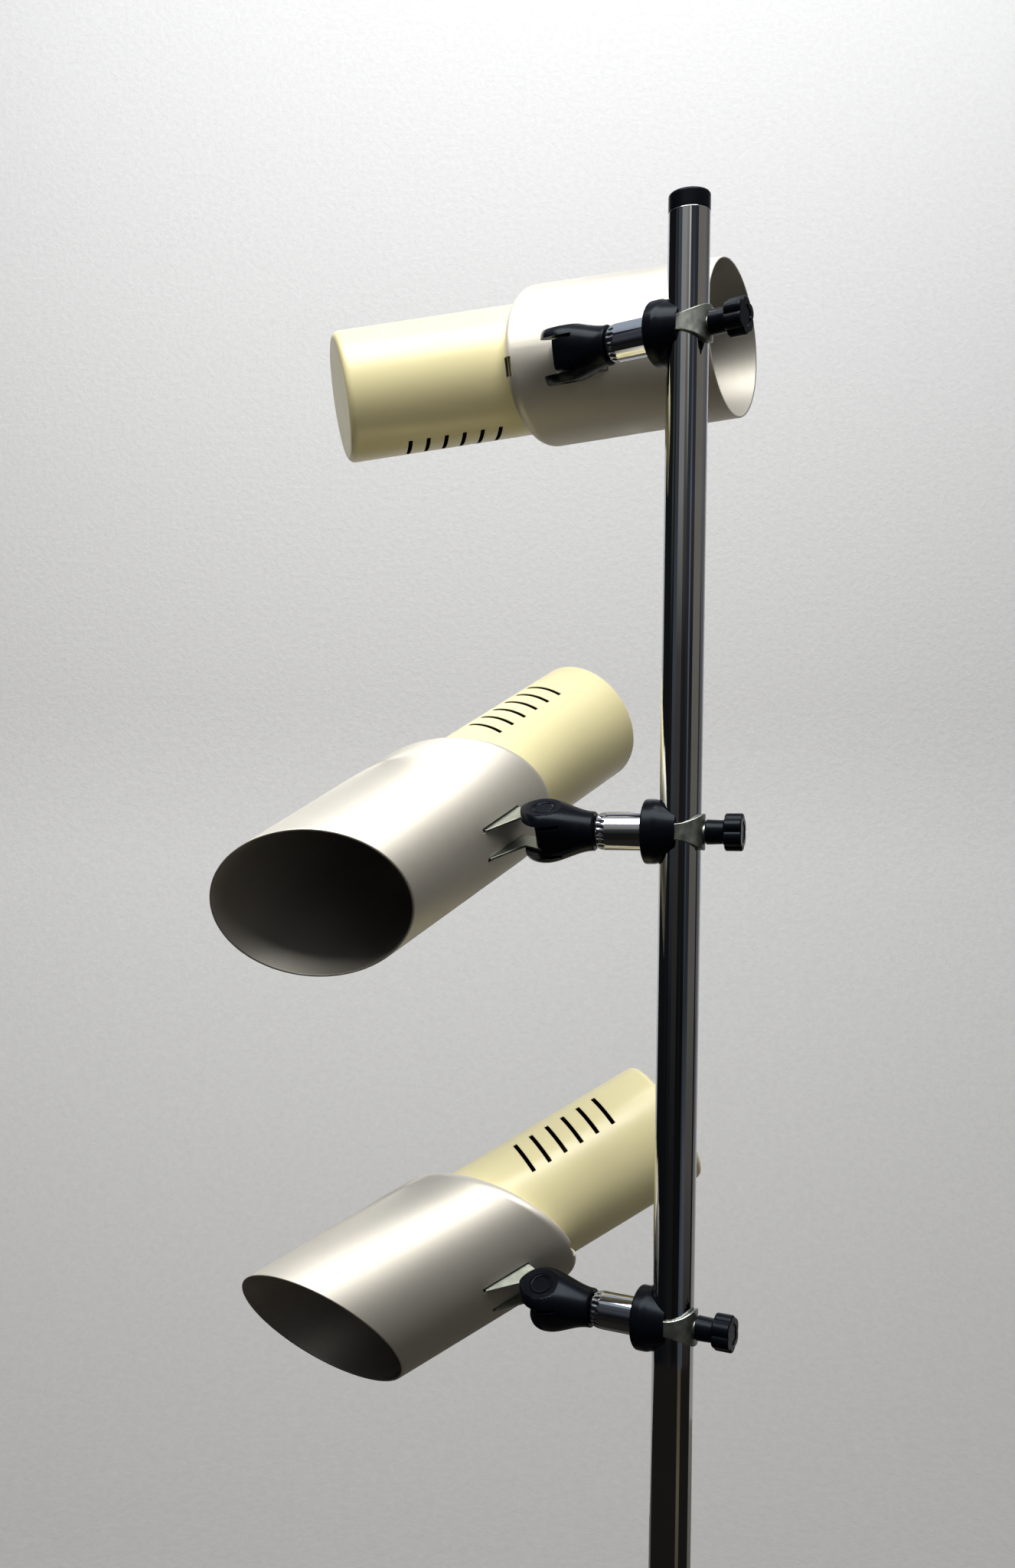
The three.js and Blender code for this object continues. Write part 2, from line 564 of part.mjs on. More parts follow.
// Knuckle: a moulded cover that grows from the round neck into two cheeks and a
// tongue, with the bracket's ears between them
function knuckle() {
  const neck = KNUCKLE_NECK_DIAMETER / 2;
  const lobe = KNUCKLE_LOBE_DIAMETER / 2;
  const half = KNUCKLE_WIDTH / 2;
  const sections = [];
  for (const [alongShare, swellShare] of KNUCKLE_CONE_SHARES) {
    const place = knuckleStart + (PIVOT_REACH - knuckleStart) * alongShare;
    const round = KNUCKLE_ROUND + (KNUCKLE_SQUARE - KNUCKLE_ROUND) * swellShare;
    sections.push([place, neck + (half - neck) * swellShare, neck + (lobe - neck) * swellShare, round]);
  }
  for (const [turnShare, widthShare] of KNUCKLE_TIP_SHARES) {
    const angle = turnShare * Math.PI / 2;
    const height = lobe * Math.cos(angle);
    sections.push([PIVOT_REACH + lobe * Math.sin(angle), half * widthShare, height, KNUCKLE_SQUARE]);
  }
  let body = solid(lofted(sections, SIDES_ROUND));
  const far = PIVOT_REACH + lobe + OVERRUN;
  const tall = lobe + OVERRUN;
  const slotIn = earInner - FIT;
  const slotOut = earOuter + FIT;
  for (const side of [-1, 1]) {
    const [near, away] = [side * slotIn, side * slotOut].sort((a, b) => a - b);
    const slot = block([PIVOT_REACH - EAR_SLOT_DEPTH, near, -tall], [far, away, tall]);
    body = body.subtract(solid(slot));
  }
  const notch = WIRE_NOTCH_WIDTH / 2;
  body = body.subtract(solid(block([PIVOT_REACH + lobe - WIRE_NOTCH_DEPTH, -notch, -tall], [far, notch, tall])));
  const tongue = alongPivot(rod(TONGUE_DIAMETER / 2, -slotIn - FIT, slotIn + FIT, SIDES_ROUND));
  const rest = solid(block([PIVOT_REACH, -slotIn, -tall], [far, slotIn, tall]));
  body = body.subtract(rest.subtract(solid(tongue.translate(PIVOT_REACH, 0, 0))));
  const neckBore = alongArm(rod(SWIVEL_BOLT_DIAMETER / 2 + FIT, 0, flangeStart + OVERRUN, SIDES_SMALL));
  const recess = alongArm(rod(SWIVEL_FLANGE_DIAMETER / 2 + FIT, flangeStart - FIT,
    flangeStart + KNUCKLE_RECESS_LENGTH, SIDES_HOLDER));
  const lead = alongArm(rod(WIRE_BORE / 2, flangeStart, far, SIDES_SMALL));
  body = body.subtract(solid(neckBore)).subtract(solid(recess));
  return body.subtract(solid(lead)).subtract(pivotHoles());
}

// Holes across the knuckle for the pivot screw, its head and its nut
function pivotHoles() {
  const outer = KNUCKLE_WIDTH / 2 + OVERRUN;
  const headSeat = KNUCKLE_WIDTH / 2 - PIVOT_HEAD_THICKNESS;
  const nutSeat = KNUCKLE_WIDTH / 2 - PIVOT_NUT_HEIGHT - FIT * 2;
  const shank = rod(PIVOT_SCREW_DIAMETER / 2 + FIT, -outer, outer, SIDES_SMALL);
  const head = rod(PIVOT_HEAD_DIAMETER / 2 + FIT, -outer, -headSeat + FIT, SIDES_HOLDER);
  const nut = rod(PIVOT_NUT_DIAMETER / 2 + FIT, nutSeat, outer, SIDES_HEX);
  const holes = solid(shank).add(solid(head)).add(solid(nut));
  return holes.transform(pivotPlacing());
}

// Z along the pivot at the pivot's place on the arm, as the sixteen numbers of a matrix
function pivotPlacing() {
  const matrix = new THREE.Matrix4().makeRotationX(-Math.PI / 2);
  matrix.setPosition(PIVOT_REACH, 0, 0);
  return matrix.elements;
}

function pivotScrew() {
  const shank = PIVOT_SCREW_DIAMETER / 2;
  const head = PIVOT_HEAD_DIAMETER / 2;
  const high = KNUCKLE_WIDTH / 2;
  const headEnd = -high + PIVOT_HEAD_THICKNESS;
  return alongPivot(turned([
    [0, -high - FIT], [head - FIT, -high - FIT], [head, -high], [head, headEnd], [shank, headEnd],
    [shank, high - FIT], [0, high - FIT],
  ], SIDES_HOLDER)).translate(PIVOT_REACH, 0, 0);
}

function pivotNut() {
  const inner = (PIVOT_SCREW_DIAMETER / 2 + FIT) / Math.cos(Math.PI / SIDES_HEX);
  const high = KNUCKLE_WIDTH / 2 - FIT;
  const nut = ring(inner, PIVOT_NUT_DIAMETER / 2, high - PIVOT_NUT_HEIGHT, high, SIDES_HEX);
  return alongPivot(nut).translate(PIVOT_REACH, 0, 0);
}

// Bracket: two ears and the web that joins them inside the shade
function bracket() {
  const eye = EAR_EYE_DIAMETER / 2;
  const wall = SHADE_OFFSET - shadeRadius;
  const flare = EAR_FLARE_SHARES.map(([outShare, upShare]) => [
    EAR_WAIST_REACH + (wall - EAR_WAIST_REACH) * outShare,
    eye + (EAR_FOOT_FRONT - eye) * upShare,
  ]);
  const outline = [
    [webInner, -EAR_FOOT_BACK], ...arc(0, 0, eye, EAR_EYE_START, 1, STEPS_EYE), ...flare,
    [webInner, EAR_FOOT_FRONT],
  ];
  const hole = rod(PIVOT_SCREW_DIAMETER / 2 + FIT, -earOuter - OVERRUN, earOuter + OVERRUN, SIDES_SMALL);
  const low = -EAR_FOOT_BACK + WEB_MARGIN;
  const high = EAR_FOOT_FRONT - WEB_MARGIN;
  let body = solid(block([webOuter, -earOuter, low], [webInner, earOuter, high]));
  for (const start of [-earOuter, earInner]) {
    body = body.add(solid(across(outline, start, start + BRACKET_SHEET)));
  }
  return body.subtract(solid(alongPivot(hole))).subtract(stripScrewHole());
}

const stripScrewPlace = (EAR_FOOT_FRONT - EAR_FOOT_BACK) / 2;

function stripScrewHole() {
  const hole = rod(STRIP_SCREW_DIAMETER / 2 + FIT, 0, SHADE_OFFSET - housingRadius, SIDES_SMALL);
  return solid(alongArm(hole).translate(0, 0, stripScrewPlace));
}

// Shade: a turned cup slanted so that mouth and neck run alike
function shade() {
  const low = NECK_REACH;
  const centre = shadeRadius - shoulder;
  const cup = turned([
    [neckRadius, low + SHADE_SHEET], ...arc(centre, low + shoulder, shoulder, -1, 0, STEPS_SHOULDER),
    [shadeRadius, MOUTH_REACH], [shadeBore, MOUTH_REACH],
    ...arc(centre, low + shoulder, shoulder - SHADE_SHEET, 0, -1, STEPS_ROUNDING),
  ], SIDES_SHADE);
  let body = solid(slanted(cup));
  const reach = shadeRadius + OVERRUN;
  for (const side of [-1, 1]) {
    const [near, away] = [side * (earInner - FIT), side * (earOuter + FIT)].sort((a, b) => a - b);
    const slot = block([-reach, near, -EAR_FOOT_BACK - EAR_SLOT_SPARE],
      [-shadeRadius / 2, away, EAR_FOOT_FRONT + EAR_SLOT_SPARE]);
    body = body.subtract(solid(slot));
  }
  const notch = block([-neckRadius - NOTCH_DEPTH, -NOTCH_WIDTH / 2, low - shoulder],
    [-neckRadius + OVERRUN, NOTCH_WIDTH / 2, low + shoulder]);
  body = body.subtract(solid(notch.translate(0, 0, -neckRadius * CUT_SLOPE)));
  return body.translate([SHADE_OFFSET, 0, 0]);
}

// Rear housing: a turned cup cut off along the shade's neck, with a flange inside
// the neck and a row of vents on one side
function housing() {
  const inner = housingRadius - HOUSING_SHEET;
  const back = -HOUSING_REACH;
  const beyond = housingRadius + HOUSING_FLANGE - neckRadius;
  const flangeLow = NECK_REACH + SHADE_SHEET + FIT + beyond * Math.tan(Math.PI / 4 / STEPS_ROUNDING);
  const flangeHigh = flangeLow + HOUSING_SHEET;
  const high = flangeHigh + housingRadius * CUT_SLOPE + OVERRUN;
  const centre = housingRadius - HOUSING_ROUNDING;
  const cup = turned([
    [0, back], ...arc(centre, back + HOUSING_ROUNDING, HOUSING_ROUNDING, -1, 0),
    [housingRadius, high], [inner, high],
    ...arc(centre, back + HOUSING_ROUNDING, HOUSING_ROUNDING - HOUSING_SHEET, 0, -1, 1),
    [0, back + HOUSING_SHEET],
  ], SIDES_HOUSING);
  const cutter = slanted(rod(housingRadius + OVERRUN, flangeHigh, flangeHigh + HOUSING_REACH, SIDES_HOUSING));
  const lip = ring(inner, housingRadius + HOUSING_FLANGE, flangeLow, flangeHigh, SIDES_HOUSING);
  let body = solid(cup).subtract(solid(cutter)).add(solid(slanted(lip)));
  const deep = Math.sqrt(inner ** 2 - (VENT_CHORD / 2) ** 2) - OVERRUN;
  for (let i = 0; i < VENT_COUNT; i += 1) {
    const place = -VENT_START - VENT_PITCH * i;
    const vent = block([-VENT_CHORD / 2, -housingRadius - OVERRUN, place - VENT_WIDTH / 2],
      [VENT_CHORD / 2, -deep, place + VENT_WIDTH / 2]);
    body = body.subtract(solid(vent));
  }
  return body.translate([SHADE_OFFSET, 0, 0]);
}

// Strip from the web back into the housing, ending in a plate for the lampholder
const stripFoot = webInner + FIT;
const stripEnd = STRIP_END_ROOM - HOUSING_REACH;
const stripRun = SHADE_OFFSET - Math.sqrt((housingRadius - HOUSING_SHEET) ** 2 - (STRIP_WIDTH / 2) ** 2) + FIT * 2;

function holderStrip() {
  const top = stripScrewPlace + STRIP_FOOT_LENGTH / 2;
  const bend = stripScrewPlace - STRIP_FOOT_LENGTH / 2;
  const outline = [
    [stripFoot, top], [stripFoot, bend], [stripRun, bend - STRIP_JOG_LENGTH],
    [stripRun, stripEnd - STRIP_SHEET], [SHADE_OFFSET + STRIP_END_MARGIN, stripEnd - STRIP_SHEET],
    [SHADE_OFFSET + STRIP_END_MARGIN, stripEnd], [stripRun + STRIP_SHEET, stripEnd],
    [stripRun + STRIP_SHEET, bend - STRIP_JOG_LENGTH], [stripFoot + STRIP_SHEET, bend],
    [stripFoot + STRIP_SHEET, top],
  ];
  const strip = across(outline, -STRIP_WIDTH / 2, STRIP_WIDTH / 2);
  const hole = rod(HOLDER_STUD_DIAMETER / 2 + FIT, -HOUSING_REACH, 0, SIDES_SMALL);
  return solid(strip).subtract(solid(hole.translate(SHADE_OFFSET, 0, 0))).subtract(stripScrewHole());
}

function stripScrew() {
  const shank = STRIP_SCREW_DIAMETER / 2;
  const head = STRIP_SCREW_HEAD / 2;
  const seat = stripFoot + STRIP_SHEET + FIT;
  const high = seat + STRIP_SCREW_HEAD_HEIGHT;
  return alongArm(turned([
    [0, webOuter], [shank, webOuter], [shank, seat], [head, seat], [head - FIT, high], [0, high],
  ], SIDES_SMALL)).translate(0, 0, stripScrewPlace);
}

// Lampholder: stud, domed back, body and skirt round an open socket
function lampholder() {
  const back = stripEnd + FIT;
  const front = back + HOLDER_LENGTH;
  const body = HOLDER_BODY_DIAMETER / 2;
  const skirt = HOLDER_SKIRT_DIAMETER / 2;
  const neck = HOLDER_NECK_DIAMETER / 2;
  const stud = HOLDER_STUD_DIAMETER / 2;
  const socket = SOCKET_BORE / 2;
  const dome = back + HOLDER_NECK_LENGTH + HOLDER_DOME_LENGTH;
  return turned([
    [0, back - HOLDER_STUD_LENGTH], [stud, back - HOLDER_STUD_LENGTH], [stud, back], [neck, back],
    [neck, back + HOLDER_NECK_LENGTH], [body, dome], [body, front - HOLDER_SKIRT_LENGTH],
    [skirt, front - HOLDER_SKIRT_LENGTH], [skirt, front], [socket, front],
    [socket, front - SOCKET_DEPTH], [0, front - SOCKET_DEPTH],
  ], SIDES_HOLDER).translate(SHADE_OFFSET, 0, 0);
}

// Assembly
const lamp = new THREE.Group();
lamp.add(
  mesh('base_pad', basePad(), ...rubberBlack),
  mesh('base_weight', baseWeight(), ...castIron),
  mesh('base_cover', baseCover(), ...lacquerBlack),
  mesh('base_grommet', grommet(), ...plasticBlack),
  mesh('foot_bolt', footBolt(), ...steel),
  mesh('foot_nut', footNut(), ...zinc),
  mesh('foot_ring', footRing(), ...chrome),
  mesh('pole', pole(), ...chrome),
  mesh('end_plug', endPlug(), ...plasticBlack),
);

for (const spot of SPOTS) {
  const named = (name, shape, look) => mesh(`${spot.name}_${name}`, shape, ...look);
  const clamp = new THREE.Group();
  clamp.position.z = LAMP_HEIGHT - spot.drop;
  clamp.rotation.z = THREE.MathUtils.degToRad(spot.swivel);
  clamp.add(
    named('collar', collar(), plasticBlack),
    named('strap', strap(), zinc),
    named('clamp_screw', clampScrew(), steel),
    named('thumb_knob', thumbKnob(), plasticBlack),
    named('sleeve', sleeve(), chrome),
    named('swivel_nut', swivelNut(), steel),
  );
  const arm = new THREE.Group();
  arm.rotation.x = THREE.MathUtils.degToRad(spot.roll);
  arm.add(
    named('swivel_bolt', swivelBolt(), steel),
    named('knuckle', knuckle(), plasticBlack),
    named('pivot_screw', pivotScrew(), plasticBlack),
    named('pivot_nut', pivotNut(), zinc),
  );
  const head = new THREE.Group();
  head.position.x = PIVOT_REACH;
  head.rotation.y = THREE.MathUtils.degToRad(-spot.tilt);
  head.add(
    named('bracket', bracket(), zinc),
    named('shade', shade(), aluminium),
    named('housing', housing(), cream),
    named('holder_strip', holderStrip(), zinc),
    named('strip_screw', stripScrew(), zinc),
    named('lampholder', lampholder(), bakelite),
  );
  arm.add(head);
  clamp.add(arm);
  lamp.add(clamp);
}

export default lamp;
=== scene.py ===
"""Looks of a floor lamp with three adjustable spots on one chromed pole.

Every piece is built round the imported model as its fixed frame, in metres. Sizes in this
file are in millimetres unless a property says otherwise, and are scaled as a mesh is made.
"""

import json
import math

import bmesh
import bpy
from mathutils import Matrix, Vector


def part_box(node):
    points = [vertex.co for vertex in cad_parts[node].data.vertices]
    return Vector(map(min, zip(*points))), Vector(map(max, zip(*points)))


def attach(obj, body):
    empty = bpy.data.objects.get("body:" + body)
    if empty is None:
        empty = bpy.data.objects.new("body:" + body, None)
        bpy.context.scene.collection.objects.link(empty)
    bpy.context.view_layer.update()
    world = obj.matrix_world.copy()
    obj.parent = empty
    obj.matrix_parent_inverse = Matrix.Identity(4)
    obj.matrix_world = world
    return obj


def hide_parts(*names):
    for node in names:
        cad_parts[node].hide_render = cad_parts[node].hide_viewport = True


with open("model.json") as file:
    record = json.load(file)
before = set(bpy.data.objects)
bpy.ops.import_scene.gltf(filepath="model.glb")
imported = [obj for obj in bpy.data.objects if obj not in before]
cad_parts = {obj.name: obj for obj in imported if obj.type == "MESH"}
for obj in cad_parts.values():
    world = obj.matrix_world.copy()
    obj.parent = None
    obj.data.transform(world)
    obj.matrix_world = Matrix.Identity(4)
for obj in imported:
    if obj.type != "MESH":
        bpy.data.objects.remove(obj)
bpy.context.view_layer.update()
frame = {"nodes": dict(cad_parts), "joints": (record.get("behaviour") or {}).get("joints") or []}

bl_info = {
    "name": "Three-spot pole lamp",
    "version": (1, 0, 0),
    "blender": (4, 5, 0),
    "location": "View3D > Sidebar > Pole lamp",
    "description": "Builds a chromed pole lamp with three adjustable spots",
    "category": "Add Mesh",
}

MM = 0.001
SPOTS = ("upper", "middle", "lower")
FIT = 0.3  # clearance between neighbouring pieces
OVERRUN = 2  # how far a cutting body runs past what it cuts
LAP = 0.05  # how far forms or cuts that meet run over each other
SKIN = 0.2  # how far the finer round walls of a head stay within the frame's flats

# Sides and steps of the round forms
SIDES_BASE = 160
SIDES_SHADE = 144
SIDES_ROUND = 96
SIDES_SMALL = 48
STEPS_ROUNDING = 8
SHARP_ANGLE = math.radians(33)


# Sizes and colours that a user would change

def length_of(name, description, default, low, high):
    return bpy.props.FloatProperty(
        name=name, description=description, default=default, min=low, max=high,
        unit="LENGTH", subtype="DISTANCE")


def colour_of(name, description, default):
    return bpy.props.FloatVectorProperty(
        name=name, description=description, default=default, size=3, min=0, max=1, subtype="COLOR")


class LampSizes(bpy.types.PropertyGroup):
    """Main sizes of the lamp, in metres."""

    pole_diameter: length_of("Pole diameter", "Outside of the chromed tube", 0.022, 0.01, 0.05)
    pole_wall: length_of("Pole wall", "Thickness of the tube", 0.0015, 0.0005, 0.004)
    plug_height: length_of("Plug height", "Part of the end plug above the tube", 0.0096, 0.002, 0.03)
    base_diameter: length_of("Base diameter", "Outside of the base cover", 0.29, 0.2, 0.4)
    base_height: length_of("Base height", "Top of the base cover above the floor", 0.025, 0.015, 0.06)
    collar_diameter: length_of("Collar diameter", "Disc that the strap pulls against", 0.035, 0.025, 0.05)
    knob_diameter: length_of("Knob diameter", "Over the lobes of the thumb screw's head", 0.02, 0.012, 0.03)
    sleeve_diameter: length_of("Sleeve diameter", "Outside of the chromed sleeve", 0.021, 0.015, 0.03)
    shade_diameter: length_of("Shade diameter", "Outside of the aluminium shade", 0.0946, 0.06, 0.14)
    shade_slant: bpy.props.FloatProperty(
        name="Slant of the shade", description="Angle of the shade's two cut ends",
        default=math.radians(34.4), min=0, max=math.radians(50), subtype="ANGLE")
    housing_diameter: length_of("Housing diameter", "Outside of the cream rear housing", 0.0763, 0.05, 0.12)
    vent_count: bpy.props.IntProperty(
        name="Vents", description="Slots in one row along the housing", default=6, min=0, max=12)


class LampFinishes(bpy.types.PropertyGroup):
    """Colours of the lamp's finishes."""

    chrome: colour_of("Chrome", "Bright plating of the pole and sleeves", (0.62, 0.63, 0.64))
    aluminium: colour_of("Aluminium", "Satin spun metal of the shades", (0.72, 0.685, 0.605))
    cream: colour_of("Cream enamel", "Half-gloss enamel of the housings", (0.85, 0.775, 0.44))
    plastic: colour_of("Black plastic", "Moulded knuckles, collars and knobs", (0.0025, 0.003, 0.005))
    zinc: colour_of("Zinc plate", "Straps and brackets", (0.35, 0.375, 0.335))
    lacquer: colour_of("Black lacquer", "Cover of the base", (0.014, 0.015, 0.018))
    backdrop: colour_of("Backdrop", "Pale wall and floor", (0.79, 0.79, 0.785))


def sizes():
    return bpy.context.scene.lamp_sizes


def finishes():
    return bpy.context.scene.lamp_finishes


def mm(length):
    """A size in metres as millimetres."""
    return length / MM


# Where things are: the frame's joints give each spot's three places

def joint(name):
    return next(j for j in frame["joints"] if j["name"] == name)


def placing(origin, x_axis, y_axis):
    """A place in metres whose own axes are x_axis, y_axis and their cross product."""
    x = Vector(x_axis).normalized()
    y = Vector(y_axis).normalized()
    z = x.cross(y)
    turn = Matrix((x, y, z)).transposed().to_4x4()
    return Matrix.Translation(Vector(origin)) @ turn


def clamp_place(spot):
    """On the pole's axis, X along the arm, Z up."""
    arm = Vector(joint(f"{spot}_thumb_screw")["axis"])
    return placing(joint(f"{spot}_swivel")["pos_m"], arm, Vector((0, 0, 1)).cross(arm))


def arm_place(spot):
    """On the pole's axis, X along the arm, Y along the pivot."""
    arm = Vector(joint(f"{spot}_thumb_screw")["axis"])
    pivot = -Vector(joint(f"{spot}_tilt")["axis"])
    return placing(joint(f"{spot}_swivel")["pos_m"], arm, pivot)


def head_place(spot):
    """On the pivot, Y along it, Z along the shade towards its mouth."""
    tilt = joint(f"{spot}_tilt")
    rest = -sum(tilt["range_deg"]) / 2
    turn = Matrix.Rotation(math.radians(-rest), 4, "Y")
    return Matrix.Translation(Vector(tilt["pos_m"])) @ arm_place(spot).to_3x3().to_4x4() @ turn


def pivot_reach(spot):
    """From the pole's axis to the pivot, in millimetres."""
    return mm((Vector(joint(f"{spot}_tilt")["pos_m"]) - Vector(joint(f"{spot}_swivel")["pos_m"])).length)


# Turns a form made round Z so that it lies along X, or along Y
ALONG_X = Matrix.Rotation(math.pi / 2, 4, "Y")
ALONG_Y = Matrix.Rotation(-math.pi / 2, 4, "X")


# Forms, in millimetres

def arc(centre_radius, centre_height, radius, start, end, steps=STEPS_ROUNDING):
    """Points of a round corner in a profile; angles in quarter turns."""
    points = []
    for i in range(steps + 1):
        angle = (start + (end - start) * i / steps) * math.pi / 2
        points.append((centre_radius + radius * math.cos(angle), centre_height + radius * math.sin(angle)))
    return points


def add_rows(form, rows, closed_rows):
    """Joins rows of points with faces; a row of one point closes to a tip."""
    made = [[form.verts.new(point) for point in row] for row in rows]
    pairs = list(zip(made, made[1:]))
    if closed_rows:
        pairs.append((made[-1], made[0]))
    for low, high in pairs:
        count = max(len(low), len(high))
        for i in range(count):
            k = (i + 1) % count
            if len(low) == 1:
                form.faces.new((low[0], high[k], high[i]))
            elif len(high) == 1:
                form.faces.new((low[i], low[k], high[0]))
            else:
                form.faces.new((low[i], low[k], high[k], high[i]))
    return form


def turned(profile, sides, turn=None, ripple=None):
    """A profile of (radius, height) pairs turned round Z. A profile that ends where it
    starts makes a ring. ripple(radius, height, angle) may change the radius."""
    closed = profile[0] == profile[-1]
    points = profile[:-1] if closed else profile
    rows = []
    for radius, height in points:
        if radius == 0:
            rows.append([(0, 0, height)])
            continue
        row = []
        for i in range(sides):
            angle = 2 * math.pi * i / sides
            reach = ripple(radius, height, angle) if ripple else radius
            row.append((reach * math.cos(angle), reach * math.sin(angle), height))
        rows.append(row)
    form = add_rows(bmesh.new(), rows, closed)
    if turn:
        form.transform(turn)
    return form


def drawn(outline, low, high, turn=None):
    """An outline of (x, y) pairs drawn up along Z."""
    form = bmesh.new()
    bottom = [form.verts.new((x, y, low)) for x, y in outline]
    top = [form.verts.new((x, y, high)) for x, y in outline]
    form.faces.new(bottom[::-1])
    form.faces.new(top)
    for i in range(len(outline)):
        k = (i + 1) % len(outline)
        form.faces.new((bottom[i], bottom[k], top[k], top[i]))
    if turn:
        form.transform(turn)
    return form


def rod(radius, low, high, turn=None, sides=SIDES_SMALL):
    """A plain round form, mostly to cut a hole with."""
    return turned([(0, low), (radius, low), (radius, high), (0, high)], sides, turn)


def block(low, high):
    """A cutting block between two corners."""
    (left, front, under), (right, rear, above) = low, high
    return drawn([(left, front), (right, front), (right, rear), (left, rear)], under, above)


def across(outline, low, high):
    """An outline of (x, z) pairs drawn along Y."""
    turn = Matrix.Rotation(math.pi / 2, 4, "X")
    return drawn(outline, -high, -low, turn)


def moved(form, *shift):
    form.transform(Matrix.Translation(shift))
    return form


def mirrored(side, near, far):
    """A stretch of an axis, low end first, on its plus side or its minus side."""
    return sorted((side * near, side * far))


def slanted(form, slope):
    """Shears a form so that z rises with x."""
    shear = Matrix.Identity(4)
    shear[2][0] = slope
    form.transform(shear)
    return form


def meshed(form, name="form"):
    """The finished mesh of a form, in metres, facing out."""
    bmesh.ops.recalc_face_normals(form, faces=form.faces)
    form.transform(Matrix.Scale(MM, 4))
    mesh = bpy.data.meshes.new(name)
    form.to_mesh(mesh)
    form.free()
    return mesh


def shown(name, data):
    """An object of the scene for a mesh, a lamp or a camera."""
    thing = bpy.data.objects.new(name, data)
    bpy.context.scene.collection.objects.link(thing)
    return thing


def carved(mesh, cutters):
    """A mesh less its cutting forms."""
    body = shown("body", mesh)
    helpers = []
    for i, cutter in enumerate(cutters):
        helper = shown(f"cutter_{i}", meshed(cutter))
        step = body.modifiers.new(f"cut_{i}", "BOOLEAN")
        step.operation, step.solver, step.object = "DIFFERENCE", "EXACT", helper
        helpers.append(helper)
    graph = bpy.context.evaluated_depsgraph_get()
    result = bpy.data.meshes.new_from_object(body.evaluated_get(graph))
    if len(result.polygons) == 0:
        raise RuntimeError(f"cutting left nothing of {mesh.name}")
    for helper in helpers:
        bpy.data.objects.remove(helper)
    bpy.data.objects.remove(body)
    return result


def joined(forms):
    """Several closed forms as one mesh."""
    whole = bmesh.new()
    for form in forms:
        bmesh.ops.recalc_face_normals(form, faces=form.faces)
        part = bpy.data.meshes.new("part")
        form.to_mesh(part)
        form.free()
        whole.from_mesh(part)
        bpy.data.meshes.remove(part)
    return whole


def piece(name, mesh, place, body, material, node, edge=0.0):
    """Puts a mesh in its place as a piece that stands for a CAD node."""
    if isinstance(mesh, bmesh.types.BMesh):
        mesh = meshed(mesh)
    mesh.name = name
    mesh.transform(place)
    for face in mesh.polygons:
        face.use_smooth = True
    mesh.set_sharp_from_angle(angle=SHARP_ANGLE)
    mesh.materials.clear()
    mesh.materials.append(material)
    thing = shown(name, mesh)
    if edge:
        soft = thing.modifiers.new("broken edges", "BEVEL")
        soft.width, soft.segments = edge * MM, 2
        soft.limit_method, soft.angle_limit = "ANGLE", math.radians(40)
        soft.use_clamp_overlap = True
        soft.miter_outer = "MITER_ARC"
        soft.harden_normals = True
    even = thing.modifiers.new("even shading", "WEIGHTED_NORMAL")
    even.keep_sharp = True
    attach(thing, body)
    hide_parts(node)


def stand_piece(name, mesh, look, node):
    """A piece of the stand, whose own place is the frame's."""
    piece(name, mesh, Matrix.Identity(4), "stand", finish(look), node)


def spot_piece(spot, name, mesh, place, body, look, node, edge=0.0):
    """A piece of one spot. The spot's name comes before the piece's, its body's and its node's."""
    material = finish(look, spot if look in AXIS_LOOKS else None)
    name, body, node = (f"{spot}_{word}" for word in (name, body, node))
    piece(name, mesh, place(spot), body, material, node, edge)


# Finishes

